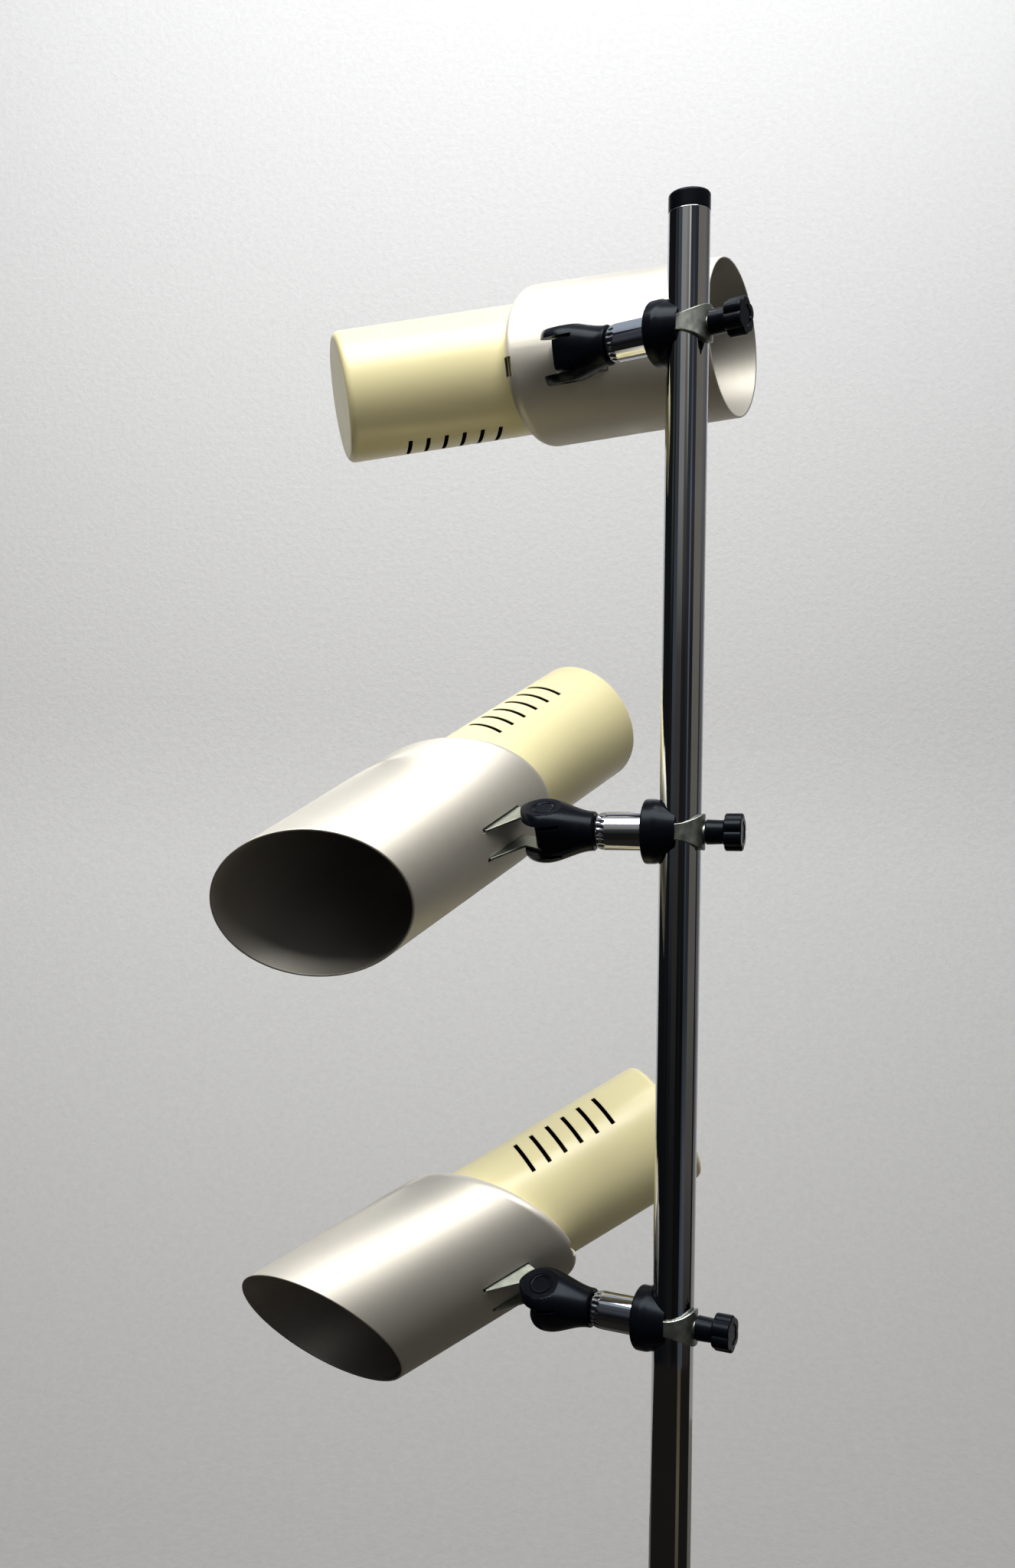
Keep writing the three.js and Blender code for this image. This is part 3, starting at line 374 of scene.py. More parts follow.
class Finish:
    """A node material that is built up from a Principled shader."""

    def __init__(self, name, roughness, metallic=0.0, place=None):
        self.material = bpy.data.materials.new(name)
        self.material.use_nodes = True
        self.tree = self.material.node_tree
        self.shader = self.tree.nodes["Principled BSDF"]
        self.shader.inputs["Roughness"].default_value = roughness
        self.shader.inputs["Metallic"].default_value = metallic
        self.place = self.tree.nodes.new("ShaderNodeTexCoord").outputs["Object"]
        if place:
            own = self.node("ShaderNodeMapping", vector_type="TEXTURE")
            own.inputs["Location"].default_value = place.translation
            own.inputs["Rotation"].default_value = place.to_euler()
            self.link(self.place, own.inputs["Vector"])
            self.place = own.outputs["Vector"]

    def node(self, kind, **settings):
        made = self.tree.nodes.new(kind)
        for key, value in settings.items():
            setattr(made, key, value)
        return made

    def link(self, source, target):
        self.tree.links.new(source, target)

    def moved(self, scale, shift=(0, 0, 0)):
        """Object coordinates stretched by three shares and then shifted."""
        mapping = self.node("ShaderNodeMapping")
        mapping.inputs["Scale"].default_value = scale
        mapping.inputs["Location"].default_value = shift
        self.link(self.place, mapping.inputs["Vector"])
        return mapping.outputs["Vector"]

    def noise(self, scale, detail, roughness, stretch=(1, 1, 1)):
        made = self.node("ShaderNodeTexNoise")
        made.inputs["Scale"].default_value = scale
        made.inputs["Detail"].default_value = detail
        made.inputs["Roughness"].default_value = roughness
        self.link(self.moved(stretch), made.inputs["Vector"])
        return made.outputs["Fac"]

    def calc(self, operation, value, number):
        made = self.node("ShaderNodeMath", operation=operation)
        self.link(value, made.inputs[0])
        made.inputs[1].default_value = number
        return made.outputs["Value"]

    def inside(self, radius, end, corner, skin, slope=0.0):
        """1 deeper than a skin under a turned wall, 0 elsewhere. The wall's end has a round
        corner. Sizes in millimetres."""
        shift = (-SHADE_OFFSET * MM, 0, 0)
        soft = 0.1 * MM
        out = self.node("ShaderNodeVectorMath", operation="LENGTH")
        self.link(self.moved((1, 1, 0), shift), out.inputs[0])
        along = self.node("ShaderNodeVectorMath", operation="DOT_PRODUCT")
        self.link(self.moved((1, 1, 1), shift), along.inputs[0])
        along.inputs[1].default_value = (-slope, 0, 1)
        past = self.node("ShaderNodeCombineXYZ")
        beside = self.calc("SUBTRACT", out.outputs["Value"], (radius - corner) * MM)
        behind = self.calc("SUBTRACT", along.outputs["Value"], (end + corner) * MM)
        self.link(self.calc("MAXIMUM", beside, 0), past.inputs[0])
        self.link(self.calc("MINIMUM", behind, 0), past.inputs[1])
        reach = self.node("ShaderNodeVectorMath", operation="LENGTH")
        self.link(past.outputs["Vector"], reach.inputs[0])
        edge = (corner - skin) * MM
        return self.levels(reach.outputs["Value"], edge - soft, edge + soft, 1, 0)

    def levels(self, value, low, high, to_low, to_high):
        made = self.node("ShaderNodeMapRange")
        made.clamp = True
        for socket, number in zip(("From Min", "From Max", "To Min", "To Max"), (low, high, to_low, to_high)):
            made.inputs[socket].default_value = number
        self.link(value, made.inputs["Value"])
        return made.outputs["Result"]

    def mixed(self, share, first, second, blend_type="MIX"):
        """A colour between two colours; each is a colour or an output."""
        made = self.node("ShaderNodeMix", data_type="RGBA", blend_type=blend_type)
        self.link(share, made.inputs["Factor"])
        for socket, colour in ((made.inputs[6], first), (made.inputs[7], second)):
            if isinstance(colour, bpy.types.NodeSocket):
                self.link(colour, socket)
            else:
                socket.default_value = (*colour[:3], 1)
        return made.outputs[2]

    def blend(self, value, low, high, first, second):
        """Two colours, mixed as a value runs from low to high."""
        return self.mixed(self.levels(value, low, high, 0, 1), first, second)

    def colour(self, output):
        self.link(output, self.shader.inputs["Base Color"])

    def rough(self, output):
        self.link(output, self.shader.inputs["Roughness"])

    def bump(self, height, strength, distance):
        """Relief, with its distance in millimetres. Several reliefs add up."""
        made = self.node("ShaderNodeBump")
        made.inputs["Strength"].default_value = strength
        made.inputs["Distance"].default_value = distance * MM
        self.link(height, made.inputs["Height"])
        normal = self.shader.inputs["Normal"]
        if normal.is_linked:
            self.link(normal.links[0].from_socket, made.inputs["Normal"])
        self.link(made.outputs["Normal"], normal)


def shade_of(colour, factor):
    return tuple(min(1.0, c * factor) for c in colour[:3])


def chrome_finish():
    """Bright plate with a faint haze, drawing lines along the tube and dust."""
    f = Finish("chrome", 0.07, 1.0)
    colour = tuple(finishes().chrome)
    haze = f.noise(26, 6, 0.6)
    f.colour(f.blend(haze, 0.35, 0.75, colour, shade_of(colour, 0.9)))
    smudges = f.noise(60, 8, 0.65, (1, 1, 0.5))
    f.rough(f.levels(smudges, 0.4, 0.72, 0.03, 0.07))
    f.bump(f.noise(900, 3, 0.5, (1, 1, 0.02)), 0.05, 0.02)
    return f.material


def aluminium_finish(place):
    """Satin spun metal: fine rings round the shade, cloudy anodising, small handling marks, and painted shade
    inside.
    """
    f = Finish("spun_aluminium", 0.5, 0.84, place)
    colour = tuple(finishes().aluminium)
    clouds = f.noise(14, 5, 0.55)
    rings = f.noise(1, 5, 0.7, (30, 30, 2400))
    tone = f.blend(clouds, 0.3, 0.7, shade_of(colour, 0.94), colour)
    marks = f.levels(f.noise(120, 9, 0.75, (1, 1, 0.35)), 0.66, 0.78, 0, 0.35)
    worn = f.mixed(marks, tone, shade_of(colour, 0.72))
    # painted shade: everything inside the shade's wall is coloured darker, for the shade that falls within
    # the head
    shoulder = shade_radius() - housing_radius() - FIT
    inside = f.inside(shade_radius(), NECK_REACH, shoulder, SHADE_SHEET / 2, math.tan(sizes().shade_slant))
    f.colour(f.mixed(inside, worn, shade_of(colour, 0.58)))
    f.rough(f.levels(rings, 0.25, 0.75, 0.5, 0.62))
    f.shader.inputs["Anisotropic"].default_value = 0.35
    f.bump(rings, 0.12, 0.03)
    f.bump(f.noise(9, 2, 0.5), 0.1, 0.6)
    return f.material


def cream_finish(place):
    """Baked enamel: faint orange peel, warm clouds, a little grime in places, and painted shade that makes
    its inside near black.
    """
    f = Finish("cream_enamel", 0.36, 0.0, place)
    colour = tuple(finishes().cream)
    clouds = f.noise(11, 4, 0.5)
    tone = f.blend(clouds, 0.3, 0.7, colour, shade_of(colour, 0.95))
    grime = f.levels(f.noise(42, 9, 0.7), 0.6, 0.85, 0, 0.3)
    # painted shade: everything inside the housing's wall is coloured near black, so that vents and slot look
    # dark
    inside = f.inside(housing_radius(), -HOUSING_REACH, HOUSING_ROUNDING, HOUSING_SHEET / 2)
    f.colour(f.mixed(inside, f.mixed(grime, tone, (0.56, 0.47, 0.25)), (0.035, 0.033, 0.03)))
    f.rough(f.levels(f.noise(70, 6, 0.6), 0.3, 0.7, 0.3, 0.42))
    f.shader.inputs["Coat Weight"].default_value = 0.25
    f.shader.inputs["Coat Roughness"].default_value = 0.22
    f.bump(f.noise(420, 2, 0.4), 0.1, 0.05)
    return f.material


def plastic_finish():
    """Black moulding: fine spark texture, bluish sheen, dusty and polished places."""
    f = Finish("black_plastic", 0.28)
    colour = tuple(finishes().plastic)
    dust = f.levels(f.noise(95, 8, 0.7), 0.55, 0.85, 0, 0.4)
    f.colour(f.mixed(dust, colour, (0.009, 0.0105, 0.015)))
    f.rough(f.levels(f.noise(55, 7, 0.65), 0.3, 0.72, 0.2, 0.34))
    f.shader.inputs["Specular IOR Level"].default_value = 0.11
    f.shader.inputs["Specular Tint"].default_value = (0.72, 0.86, 1, 1)
    f.bump(f.noise(1500, 3, 0.6), 0.14, 0.04)
    f.bump(f.noise(160, 2, 0.5), 0.06, 0.12)
    return f.material


def zinc_finish():
    """Plated sheet: greenish clouds, rolled lines and dull spots."""
    f = Finish("zinc_plate", 0.36, 0.96)
    colour = tuple(finishes().zinc)
    clouds = f.noise(150, 6, 0.6)
    tone = f.blend(clouds, 0.3, 0.7, shade_of(colour, 0.8), shade_of(colour, 1.12))
    spots = f.levels(f.noise(700, 5, 0.6), 0.6, 0.75, 0, 0.45)
    f.colour(f.mixed(spots, tone, shade_of(colour, 0.55)))
    f.rough(f.levels(clouds, 0.3, 0.7, 0.28, 0.46))
    f.bump(f.noise(1400, 4, 0.6, (1, 0.12, 1)), 0.2, 0.03)
    return f.material


def lacquer_finish():
    """Satin lacquer on pressed steel: fine peel, light dust and scuffs."""
    f = Finish("black_lacquer", 0.42)
    colour = tuple(finishes().lacquer)
    dust = f.levels(f.noise(38, 9, 0.7), 0.5, 0.85, 0, 0.5)
    f.colour(f.mixed(dust, colour, (0.05, 0.05, 0.052)))
    f.rough(f.levels(f.noise(24, 8, 0.65), 0.3, 0.75, 0.34, 0.52))
    f.bump(f.noise(520, 3, 0.5), 0.12, 0.06)
    return f.material


def steel_finish():
    """Bright turned steel, darker in random clouds."""
    f = Finish("bright_steel", 0.33, 1.0)
    clouds = f.noise(240, 6, 0.6)
    f.colour(f.blend(clouds, 0.3, 0.7, (0.32, 0.32, 0.31), (0.56, 0.56, 0.55)))
    f.rough(f.levels(f.noise(500, 5, 0.6), 0.3, 0.7, 0.24, 0.46))
    f.bump(f.noise(2200, 3, 0.5, (1, 1, 0.1)), 0.2, 0.03)
    return f.material


def iron_finish():
    """Rough grey casting, brown in places of its grain."""
    f = Finish("cast_iron", 0.72, 0.55)
    grain = f.noise(190, 10, 0.7)
    f.colour(f.blend(grain, 0.45, 0.7, (0.07, 0.07, 0.072), (0.12, 0.085, 0.06)))
    f.rough(f.levels(grain, 0.3, 0.7, 0.6, 0.85))
    f.bump(grain, 0.6, 0.5)
    return f.material


def pad_finish():
    """Black sheet rubber, faintly dusty."""
    f = Finish("pad_rubber", 0.85)
    grain = f.noise(600, 6, 0.6)
    f.colour(f.blend(grain, 0.4, 0.7, (0.012, 0.012, 0.013), (0.04, 0.04, 0.042)))
    f.rough(f.levels(grain, 0.3, 0.7, 0.75, 0.95))
    f.bump(grain, 0.4, 0.2)
    return f.material


def bakelite_finish():
    """Dark phenolic with brown clouds and heat-dulled places."""
    f = Finish("bakelite", 0.48)
    clouds = f.noise(85, 7, 0.6)
    f.colour(f.blend(clouds, 0.35, 0.7, (0.014, 0.011, 0.01), (0.035, 0.022, 0.015)))
    f.rough(f.levels(clouds, 0.3, 0.7, 0.4, 0.62))
    f.bump(f.noise(900, 4, 0.6), 0.12, 0.06)
    return f.material


def backdrop_finish():
    """Pale wall and floor: faint rough grain, and painted shade that darkens it towards the floor."""
    f = Finish("pale_backdrop", 0.9)
    colour = tuple(finishes().backdrop)
    grain = f.noise(75, 8, 0.7)
    tone = f.blend(grain, 0.3, 0.7, shade_of(colour, 0.95), shade_of(colour, 1.04))
    parts = f.node("ShaderNodeSeparateXYZ")
    f.link(f.place, parts.inputs["Vector"])
    # painted shade: the colour is multiplied darker from 1.1 m down to the floor
    painted_shade_near_floor = f.levels(parts.outputs["Z"], 0.0, 1.1, 1, 0)
    deeper = f.mixed(painted_shade_near_floor, tone, (0.65, 0.645, 0.635), "MULTIPLY")
    # the room round the lamp is dim, so little light comes back from the backdrop
    bounce = f.node("ShaderNodeLightPath").outputs["Is Diffuse Ray"]
    f.colour(f.mixed(bounce, deeper, (0.2, 0.18, 0.15)))
    f.shader.inputs["Specular IOR Level"].default_value = 0.1
    f.bump(grain, 0.8, 2.5)
    return f.material


FINISHES = {}
MAKERS = {
    "chrome": chrome_finish, "aluminium": aluminium_finish, "cream": cream_finish,
    "black_plastic": plastic_finish, "zinc": zinc_finish, "black_lacquer": lacquer_finish,
    "steel": steel_finish, "iron": iron_finish, "pad": pad_finish, "bakelite": bakelite_finish,
    "backdrop": backdrop_finish,
}
AXIS_LOOKS = ("aluminium", "cream")


def finish(name, spot=None):
    """The material of a look, made once, or once for each spot whose axis it follows."""
    key = (name, spot)
    if key not in FINISHES:
        FINISHES[key] = MAKERS[name](head_place(spot)) if spot else MAKERS[name]()
    return FINISHES[key]


# Stand: pole, plug and base

RIM = 0.3  # rounding of the rims of chromed and lacquered tubes
WIRE_SLOT_HEIGHT = 6
WIRE_SLOT_TURN = math.radians(62)  # to each side of the arm
PLUG_ROUNDING = 1.6
PLUG_RELIEF = 0.25
PLUG_CHAMFER = 0.6
BASE_WALL = 1.2
BASE_ROUNDING = 9
BASE_HOLE = 5.3  # radius, for the foot bolt and for the lead
GROMMET_BORE = 3
GROMMET_BODY = 5
GROMMET_LIP = 6.4
GROMMET_EDGE = 0.5
GROMMET_FLANGE = 2.4
GROMMET_RIM = 0.6
GROMMET_TAPER = 0.7
BORE_CHAMFER = 0.4
FOOT_ROUNDING = 4


def pole_radius():
    return mm(sizes().pole_diameter) / 2


def node_span(node, axis):
    """From where to where a CAD node reaches along an axis, in millimetres."""
    return (mm(corner[axis]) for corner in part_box(node))


def make_pole():
    radius = pole_radius()
    bore = radius - mm(sizes().pole_wall)
    low, high = node_span("pole", 2)
    tube = meshed(turned([
        (bore, low), *arc(radius - RIM, low + RIM, RIM, -1, 0, 2),
        *arc(radius - RIM, high - RIM, RIM, 0, 1, 2), (bore, high), (bore, low),
    ], SIDES_ROUND))
    slots = []
    far, half = radius + OVERRUN, WIRE_SLOT_HEIGHT / 2
    for spot in SPOTS:
        place = clamp_place(spot)
        middle = mm(place.translation.z)
        arm = math.atan2(place[1][0], place[0][0])
        angles = [arm + WIRE_SLOT_TURN * share for share in (-1, -0.5, 0, 0.5, 1)]
        outline = [(0, 0), *((far * math.cos(a), far * math.sin(a)) for a in angles)]
        slots.append(drawn(outline, middle - half, middle + half))
    stand_piece("chromed_pole", carved(tube, slots), "chrome", "pole")


def make_plug():
    radius = pole_radius()
    bottom, top = node_span("end_plug", 2)
    seat = top - mm(sizes().plug_height)
    spigot = radius - mm(sizes().pole_wall) - FIT
    stand_piece("pole_end_plug", turned([
        (0, bottom), (spigot - PLUG_CHAMFER, bottom), (spigot, bottom + PLUG_CHAMFER), (spigot, seat),
        (radius - PLUG_RELIEF, seat), (radius, seat + PLUG_RELIEF),
        *arc(radius - PLUG_ROUNDING, top - PLUG_ROUNDING, PLUG_ROUNDING, 0, 1), (0, top),
    ], SIDES_ROUND), "black_plastic", "end_plug")


def make_base():
    """A pressed cover, open below, with the lead's grommet at its back."""
    radius, high = mm(sizes().base_diameter) / 2 - SKIN, mm(sizes().base_height)
    low = mm(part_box("base_cover")[0].z)
    inner, centre, shoulder = radius - BASE_WALL, radius - BASE_ROUNDING, high - BASE_ROUNDING
    cover = meshed(turned([
        (inner, low), *arc(radius - RIM, low + RIM, RIM, -1, 0, 2),
        *arc(centre, shoulder, BASE_ROUNDING, 0, 1, 14), (BASE_HOLE, high), (BASE_HOLE, high - BASE_WALL),
        *arc(centre, shoulder, BASE_ROUNDING - BASE_WALL, 1, 0, 10), (inner, low),
    ], SIDES_BASE))
    height = sum(node_span("base_grommet", 2)) / 2
    lead_hole = moved(rod(BASE_HOLE, inner - OVERRUN, radius + OVERRUN, ALONG_Y), 0, 0, height)
    stand_piece("lacquered_base", carved(cover, [lead_hole]), "black_lacquer", "base_cover")
    bore, body, lip, edge, seat = GROMMET_BORE, GROMMET_BODY, GROMMET_LIP, GROMMET_EDGE, radius + FIT
    near, far = node_span("base_grommet", 1)
    ring = turned([
        (bore, near), (lip - edge, near), (lip, near + edge), (lip, near + GROMMET_FLANGE),
        (body, near + far - seat), (body, seat), (lip, seat), (lip, seat + GROMMET_RIM),
        (body + GROMMET_TAPER, far - edge), (body, far), (bore + BORE_CHAMFER, far),
        (bore, far - BORE_CHAMFER), (bore, near),
    ], SIDES_SMALL, ALONG_Y)
    stand_piece("lead_grommet", moved(ring, 0, 0, height), "black_plastic", "base_grommet")
    dress("base_pad", "pad")
    dress("base_weight", "iron")
    dress("foot_bolt", "steel")
    dress("foot_nut", "zinc")


def make_foot_ring():
    low, high = node_span("foot_ring", 2)
    outer, bore = mm(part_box("foot_ring")[1].x), pole_radius() + FIT
    stand_piece("chromed_foot_ring", turned([
        (bore, low), *arc(outer - RIM, low + RIM, RIM, -1, 0, 2),
        *arc(outer - FOOT_ROUNDING, high - FOOT_ROUNDING, FOOT_ROUNDING, 0, 1),
        (bore + BORE_CHAMFER, high), (bore, high - BORE_CHAMFER), (bore, low),
    ], SIDES_ROUND), "chrome", "foot_ring")


def dress(node, name):
    """Gives a CAD node that stays in view its finish."""
    thing = frame["nodes"][node]
    thing.data.materials.clear()
    thing.data.materials.append(finish(name))


# Clamp: collar, strap, thumb knob and sleeve, along the arm's own X

COLLAR_THICKNESS = 7.5
COLLAR_ROUNDING = 1.1
SADDLE_START = 0.6
SADDLE_INSET = 3.8
SADDLE_CHAMFER = 0.4
# The collar's flank past its saddle: how far in from the edge, and how far past the pole's side
COLLAR_FLANK = ((1.3, -1.6), (0.7, -0.2), (0.3, 0.9), (0.1, 1.8), (0, 2.8))
SPIGOT_LENGTH = 8
WIRE_BORE = 3.2
STRAP_THICKNESS = 1.8
STRAP_NARROW = 8.5
STRAP_WIDE = 19.5
STRAP_LEG = 4.5  # how far the ends reach past the pole
STRAP_EDGE = 0.35
# How the strap widens: share of the way round the pole, and share of its growth in width
STRAP_SWELL = ((0, 0), (0.2, 0.06), (0.35, 0.16), (0.55, 0.34), (0.7, 0.5), (0.85, 0.73), (1, 1))
STRAP_LEG_STEPS = 5
STRAP_BEND_STEPS = 72
BOSS_BORE = 3.3
BOSS_RADIUS = 4.5
BOSS_LENGTH = 4.4
KNOB_HEAD = 9.4
KNOB_LOBES = 6
KNOB_FLUTE = 1.5
KNOB_LOBE_POWER = 0.8
KNOB_BEVEL = 1.1
KNOB_DISH = 0.5
KNOB_DISH_FLOOR = 0.55  # of the head's radius
KNOB_DISH_RIM = 0.6
KNOB_SKIRT = 9.8
KNOB_SKIRT_RADIUS = 6.7
KNOB_SKIRT_TAPER = 0.35
KNOB_SKIRT_CHAMFER = 0.5
KNOB_SKIRT_ROOT = 1  # how far the skirt runs on into the head
SLEEVE_LENGTH = 26.5
SLEEVE_WALL = 2
SLEEVE_SIDES = 180
SLEEVE_ROUNDING = 2.8
SLEEVE_SHOULDER = 6.6
SLEEVE_HOLE = 5.3
SLEEVE_FLOOR = 4
SLEEVE_TAPER = 2.4  # of the bore, towards its floor
SLEEVE_FLUTES = 18
FLUTE_DEPTH = 0.8
FLUTE_REACH = 1 / 1.3  # share of the shoulder's length
FLUTED_BEYOND = 6  # radius


def collar_face():
    return pole_radius() + COLLAR_THICKNESS


def make_collar(spot):
    """A disc with a saddle for the pole, pockets for the strap's ends and a spigot for the sleeve."""
    radius, back, face = mm(sizes().collar_diameter) / 2, pole_radius(), collar_face()
    spigot, tip = mm(sizes().sleeve_diameter) / 2 - SLEEVE_WALL - FIT, face + SPIGOT_LENGTH
    saddle = radius - SADDLE_INSET
    body = meshed(turned([
        (0, SADDLE_START), (saddle, SADDLE_START), (saddle + SADDLE_CHAMFER, SADDLE_START + SADDLE_CHAMFER),
        *((radius - inset, back + past) for inset, past in COLLAR_FLANK),
        *arc(radius - COLLAR_ROUNDING, face - COLLAR_ROUNDING, COLLAR_ROUNDING, 0, 1),
        (spigot, face), (spigot, tip), (0, tip),
    ], SIDES_ROUND, ALONG_X))
    inner = back + FIT
    cuts = [rod(inner, -radius * 2, radius * 2, sides=SIDES_ROUND), rod(WIRE_BORE, 0, tip + OVERRUN, ALONG_X)]
    half, end = STRAP_NARROW / 2 + FIT, back + STRAP_LEG + FIT
    for side in (-1, 1):
        near, far = mirrored(side, inner - FIT, inner + STRAP_THICKNESS + FIT)
        cuts.append(block((-OVERRUN, near, -half), (end, far, half)))
    spot_piece(spot, "collar_disc", carved(body, cuts), clamp_place, "clamp_body", "black_plastic", "collar")


def strap_half_height(share):
    """Half the strap's width at a share of the way round the pole's back."""
    for (a, low), (b, high) in zip(STRAP_SWELL, STRAP_SWELL[1:]):
        if share <= b:
            swell = low + (high - low) * (share - a) / (b - a)
            return (STRAP_NARROW + (STRAP_WIDE - STRAP_NARROW) * swell) / 2
    return STRAP_WIDE / 2


def make_strap(spot):
    """A band bent round the pole, widening towards the screw, with its threaded boss."""
    inner = pole_radius() + FIT
    outer = inner + STRAP_THICKNESS
    leg, edge = pole_radius() + STRAP_LEG, STRAP_EDGE
    ahead = [leg * i / STRAP_LEG_STEPS for i in range(1, STRAP_LEG_STEPS + 1)]
    bend = [math.pi * i / STRAP_BEND_STEPS for i in range(STRAP_BEND_STEPS + 1)]
    # each place on the band: how far it lies ahead, and the cosine and sine of its turn
    path = [(x, 1, 0) for x in ahead[::-1]]
    path += [(0, math.cos(turn), math.sin(turn)) for turn in bend]
    path += [(x, -1, 0) for x in ahead]
    rows = []
    for x, side, back in path:
        half = strap_half_height(back if x == 0 else 0)
        quarter = [(x - radius * back, radius * side, half - drop)
                   for radius, drop in ((outer, edge), (outer - edge, 0), (inner + edge, 0), (inner, edge))]
        rows.append(quarter + [(px, py, -pz) for px, py, pz in quarter[::-1]])
    band = add_rows(bmesh.new(), rows, False)
    band.verts.ensure_lookup_table()
    corners = len(rows[0])
    band.faces.new(band.verts[:corners])
    band.faces.new(band.verts[-corners:])
    tip, root = -outer - BOSS_LENGTH, -inner - STRAP_THICKNESS / 2
    boss = turned([
        (BOSS_BORE, tip), (BOSS_RADIUS - RIM, tip), (BOSS_RADIUS, tip + RIM), (BOSS_RADIUS, root),
        (BOSS_BORE, root), (BOSS_BORE, tip),
    ], SIDES_SMALL, ALONG_X)
    spot_piece(spot, "zinc_strap", joined([band, boss]), clamp_place, "clamp_body", "zinc", "strap")


def make_knob(spot):
    """A lobed head with soft edges on a plain skirt."""
    crest = mm(sizes().knob_diameter) / 2
    skirt_end = -(pole_radius() + FIT + STRAP_THICKNESS) - FIT * 2
    head_start = skirt_end - KNOB_SKIRT
    head_end = head_start - KNOB_HEAD
    edge, dish = crest - KNOB_BEVEL, head_end + KNOB_DISH

    def lobed(radius, height, angle):
        hollow = 1 - abs(math.cos(angle * KNOB_LOBES / 2)) ** KNOB_LOBE_POWER
        return radius - KNOB_FLUTE * hollow * min(1, radius / crest)

    head = turned([
        (0, dish), (crest * KNOB_DISH_FLOOR, dish), (crest * KNOB_DISH_RIM, head_end),
        *arc(edge, head_end + KNOB_BEVEL, KNOB_BEVEL, -1, 0, 5),
        *arc(edge, head_start - KNOB_BEVEL, KNOB_BEVEL, 0, 1, 5), (0, head_start),
    ], SIDES_ROUND, ALONG_X, lobed)
    root, pocket, outside = head_start - KNOB_SKIRT_ROOT, BOSS_RADIUS + FIT, KNOB_SKIRT_RADIUS
    chamfer = KNOB_SKIRT_CHAMFER
    skirt = turned([
        (BOSS_BORE, root), (outside - chamfer, root), (outside - KNOB_SKIRT_TAPER, head_start),
        (outside, skirt_end - chamfer), (outside - chamfer, skirt_end), (pocket, skirt_end),
        (pocket, skirt_end - BOSS_LENGTH),
        (BOSS_BORE, skirt_end - BOSS_LENGTH), (BOSS_BORE, root),
    ], SIDES_ROUND, ALONG_X)
    spot_piece(spot, "lobed_knob", joined([head, skirt]), clamp_place, "screw_body", "black_plastic",
               "thumb_knob")
    dress(f"{spot}_clamp_screw", "steel")


def make_sleeve(spot):
    """Chromed cup with small flutes pressed round its shoulder."""
    radius, shoulder = mm(sizes().sleeve_diameter) / 2, SLEEVE_SHOULDER
    start = collar_face() + FIT
    end = start + SLEEVE_LENGTH
    bore, floor, corner = radius - SLEEVE_WALL, end - SLEEVE_FLOOR, radius - SLEEVE_ROUNDING

    def fluted(reach, height, angle):
        share = (height - (end - shoulder)) / shoulder
        if reach < FLUTED_BEYOND or share <= 0 or share >= 1:
            return reach
        hollow = (0.5 + 0.5 * math.cos(angle * SLEEVE_FLUTES)) ** 2
        return reach - FLUTE_DEPTH * math.sin(math.pi * min(1, share / FLUTE_REACH)) * hollow

    cup = turned([
        (bore, start), *arc(radius - RIM, start + RIM, RIM, -1, 0, 2),
        *((corner + SLEEVE_ROUNDING * x, end - shoulder + shoulder * z) for x, z in arc(0, 0, 1, 0, 1, 14)),
        (SLEEVE_HOLE, end), (SLEEVE_HOLE, floor), (bore - SLEEVE_TAPER, floor),
        (bore, end - shoulder - SLEEVE_WALL), (bore, start),
    ], SLEEVE_SIDES, ALONG_X, fluted)
    spot_piece(spot, "chromed_sleeve", cup, clamp_place, "clamp_body", "chrome", "sleeve")
    dress(f"{spot}_swivel_nut", "steel")


# Knuckle, along the arm's own X, with the pivot along Y

KNUCKLE_NECK = 10.8
KNUCKLE_NECK_WALL = 5
KNUCKLE_CHAMFER = 0.6
KNUCKLE_WIDTH = 30
KNUCKLE_SWELL = 1.6  # how far the cover swells past its cheeks before they are cut flat
KNUCKLE_LOBE = 15.5
KNUCKLE_NOSE = 13.2
KNUCKLE_TONGUE = 6.6
TONGUE_STEPS = 24
KNUCKLE_STEPS = 16
NOSE_STEPS = 12
NOSE_TURN = math.pi / 2 * 0.93
NOSE_TAPER = 0.13
SQUARENESS = 0.9  # of the cover at the pivot, over the round neck's power of 2
EAR_POCKET = 10.4  # how far the ears' slots run past the pivot
NUT_CHAMBER = 8.3
NUT_CHAMBER_HEIGHT = 6
BRACKET_WIDTH = 19.5
BRACKET_SHEET = 1.5
PIVOT_HOLE = 2.8
PIVOT_HEAD = 6.3
PIVOT_HEAD_HEIGHT = 2.4
# Face of the pivot screw's head: how far in from its edge, and how deep under the cheek
PIVOT_FACE = ((PIVOT_HEAD, 0.35), (1.7, 0.35), (1.2, -0.1), (0.9, -0.25), (0.4, -0.25), (0, 0.1))
PIVOT_NUT_POCKET = 4.9
PIVOT_NUT_DEPTH = 3.6


def cover_section(place, width, height, power):
    """A ring of points across the arm that is round at a power of 2 and squarer above it."""
    row = []
    for i in range(SIDES_ROUND):
        angle = 2 * math.pi * i / SIDES_ROUND
        c, s = math.cos(angle), math.sin(angle)
        y, z = (math.copysign(abs(share) ** (2 / power), share) for share in (c, s))
        row.append((place, width * y, height * z))
    return row


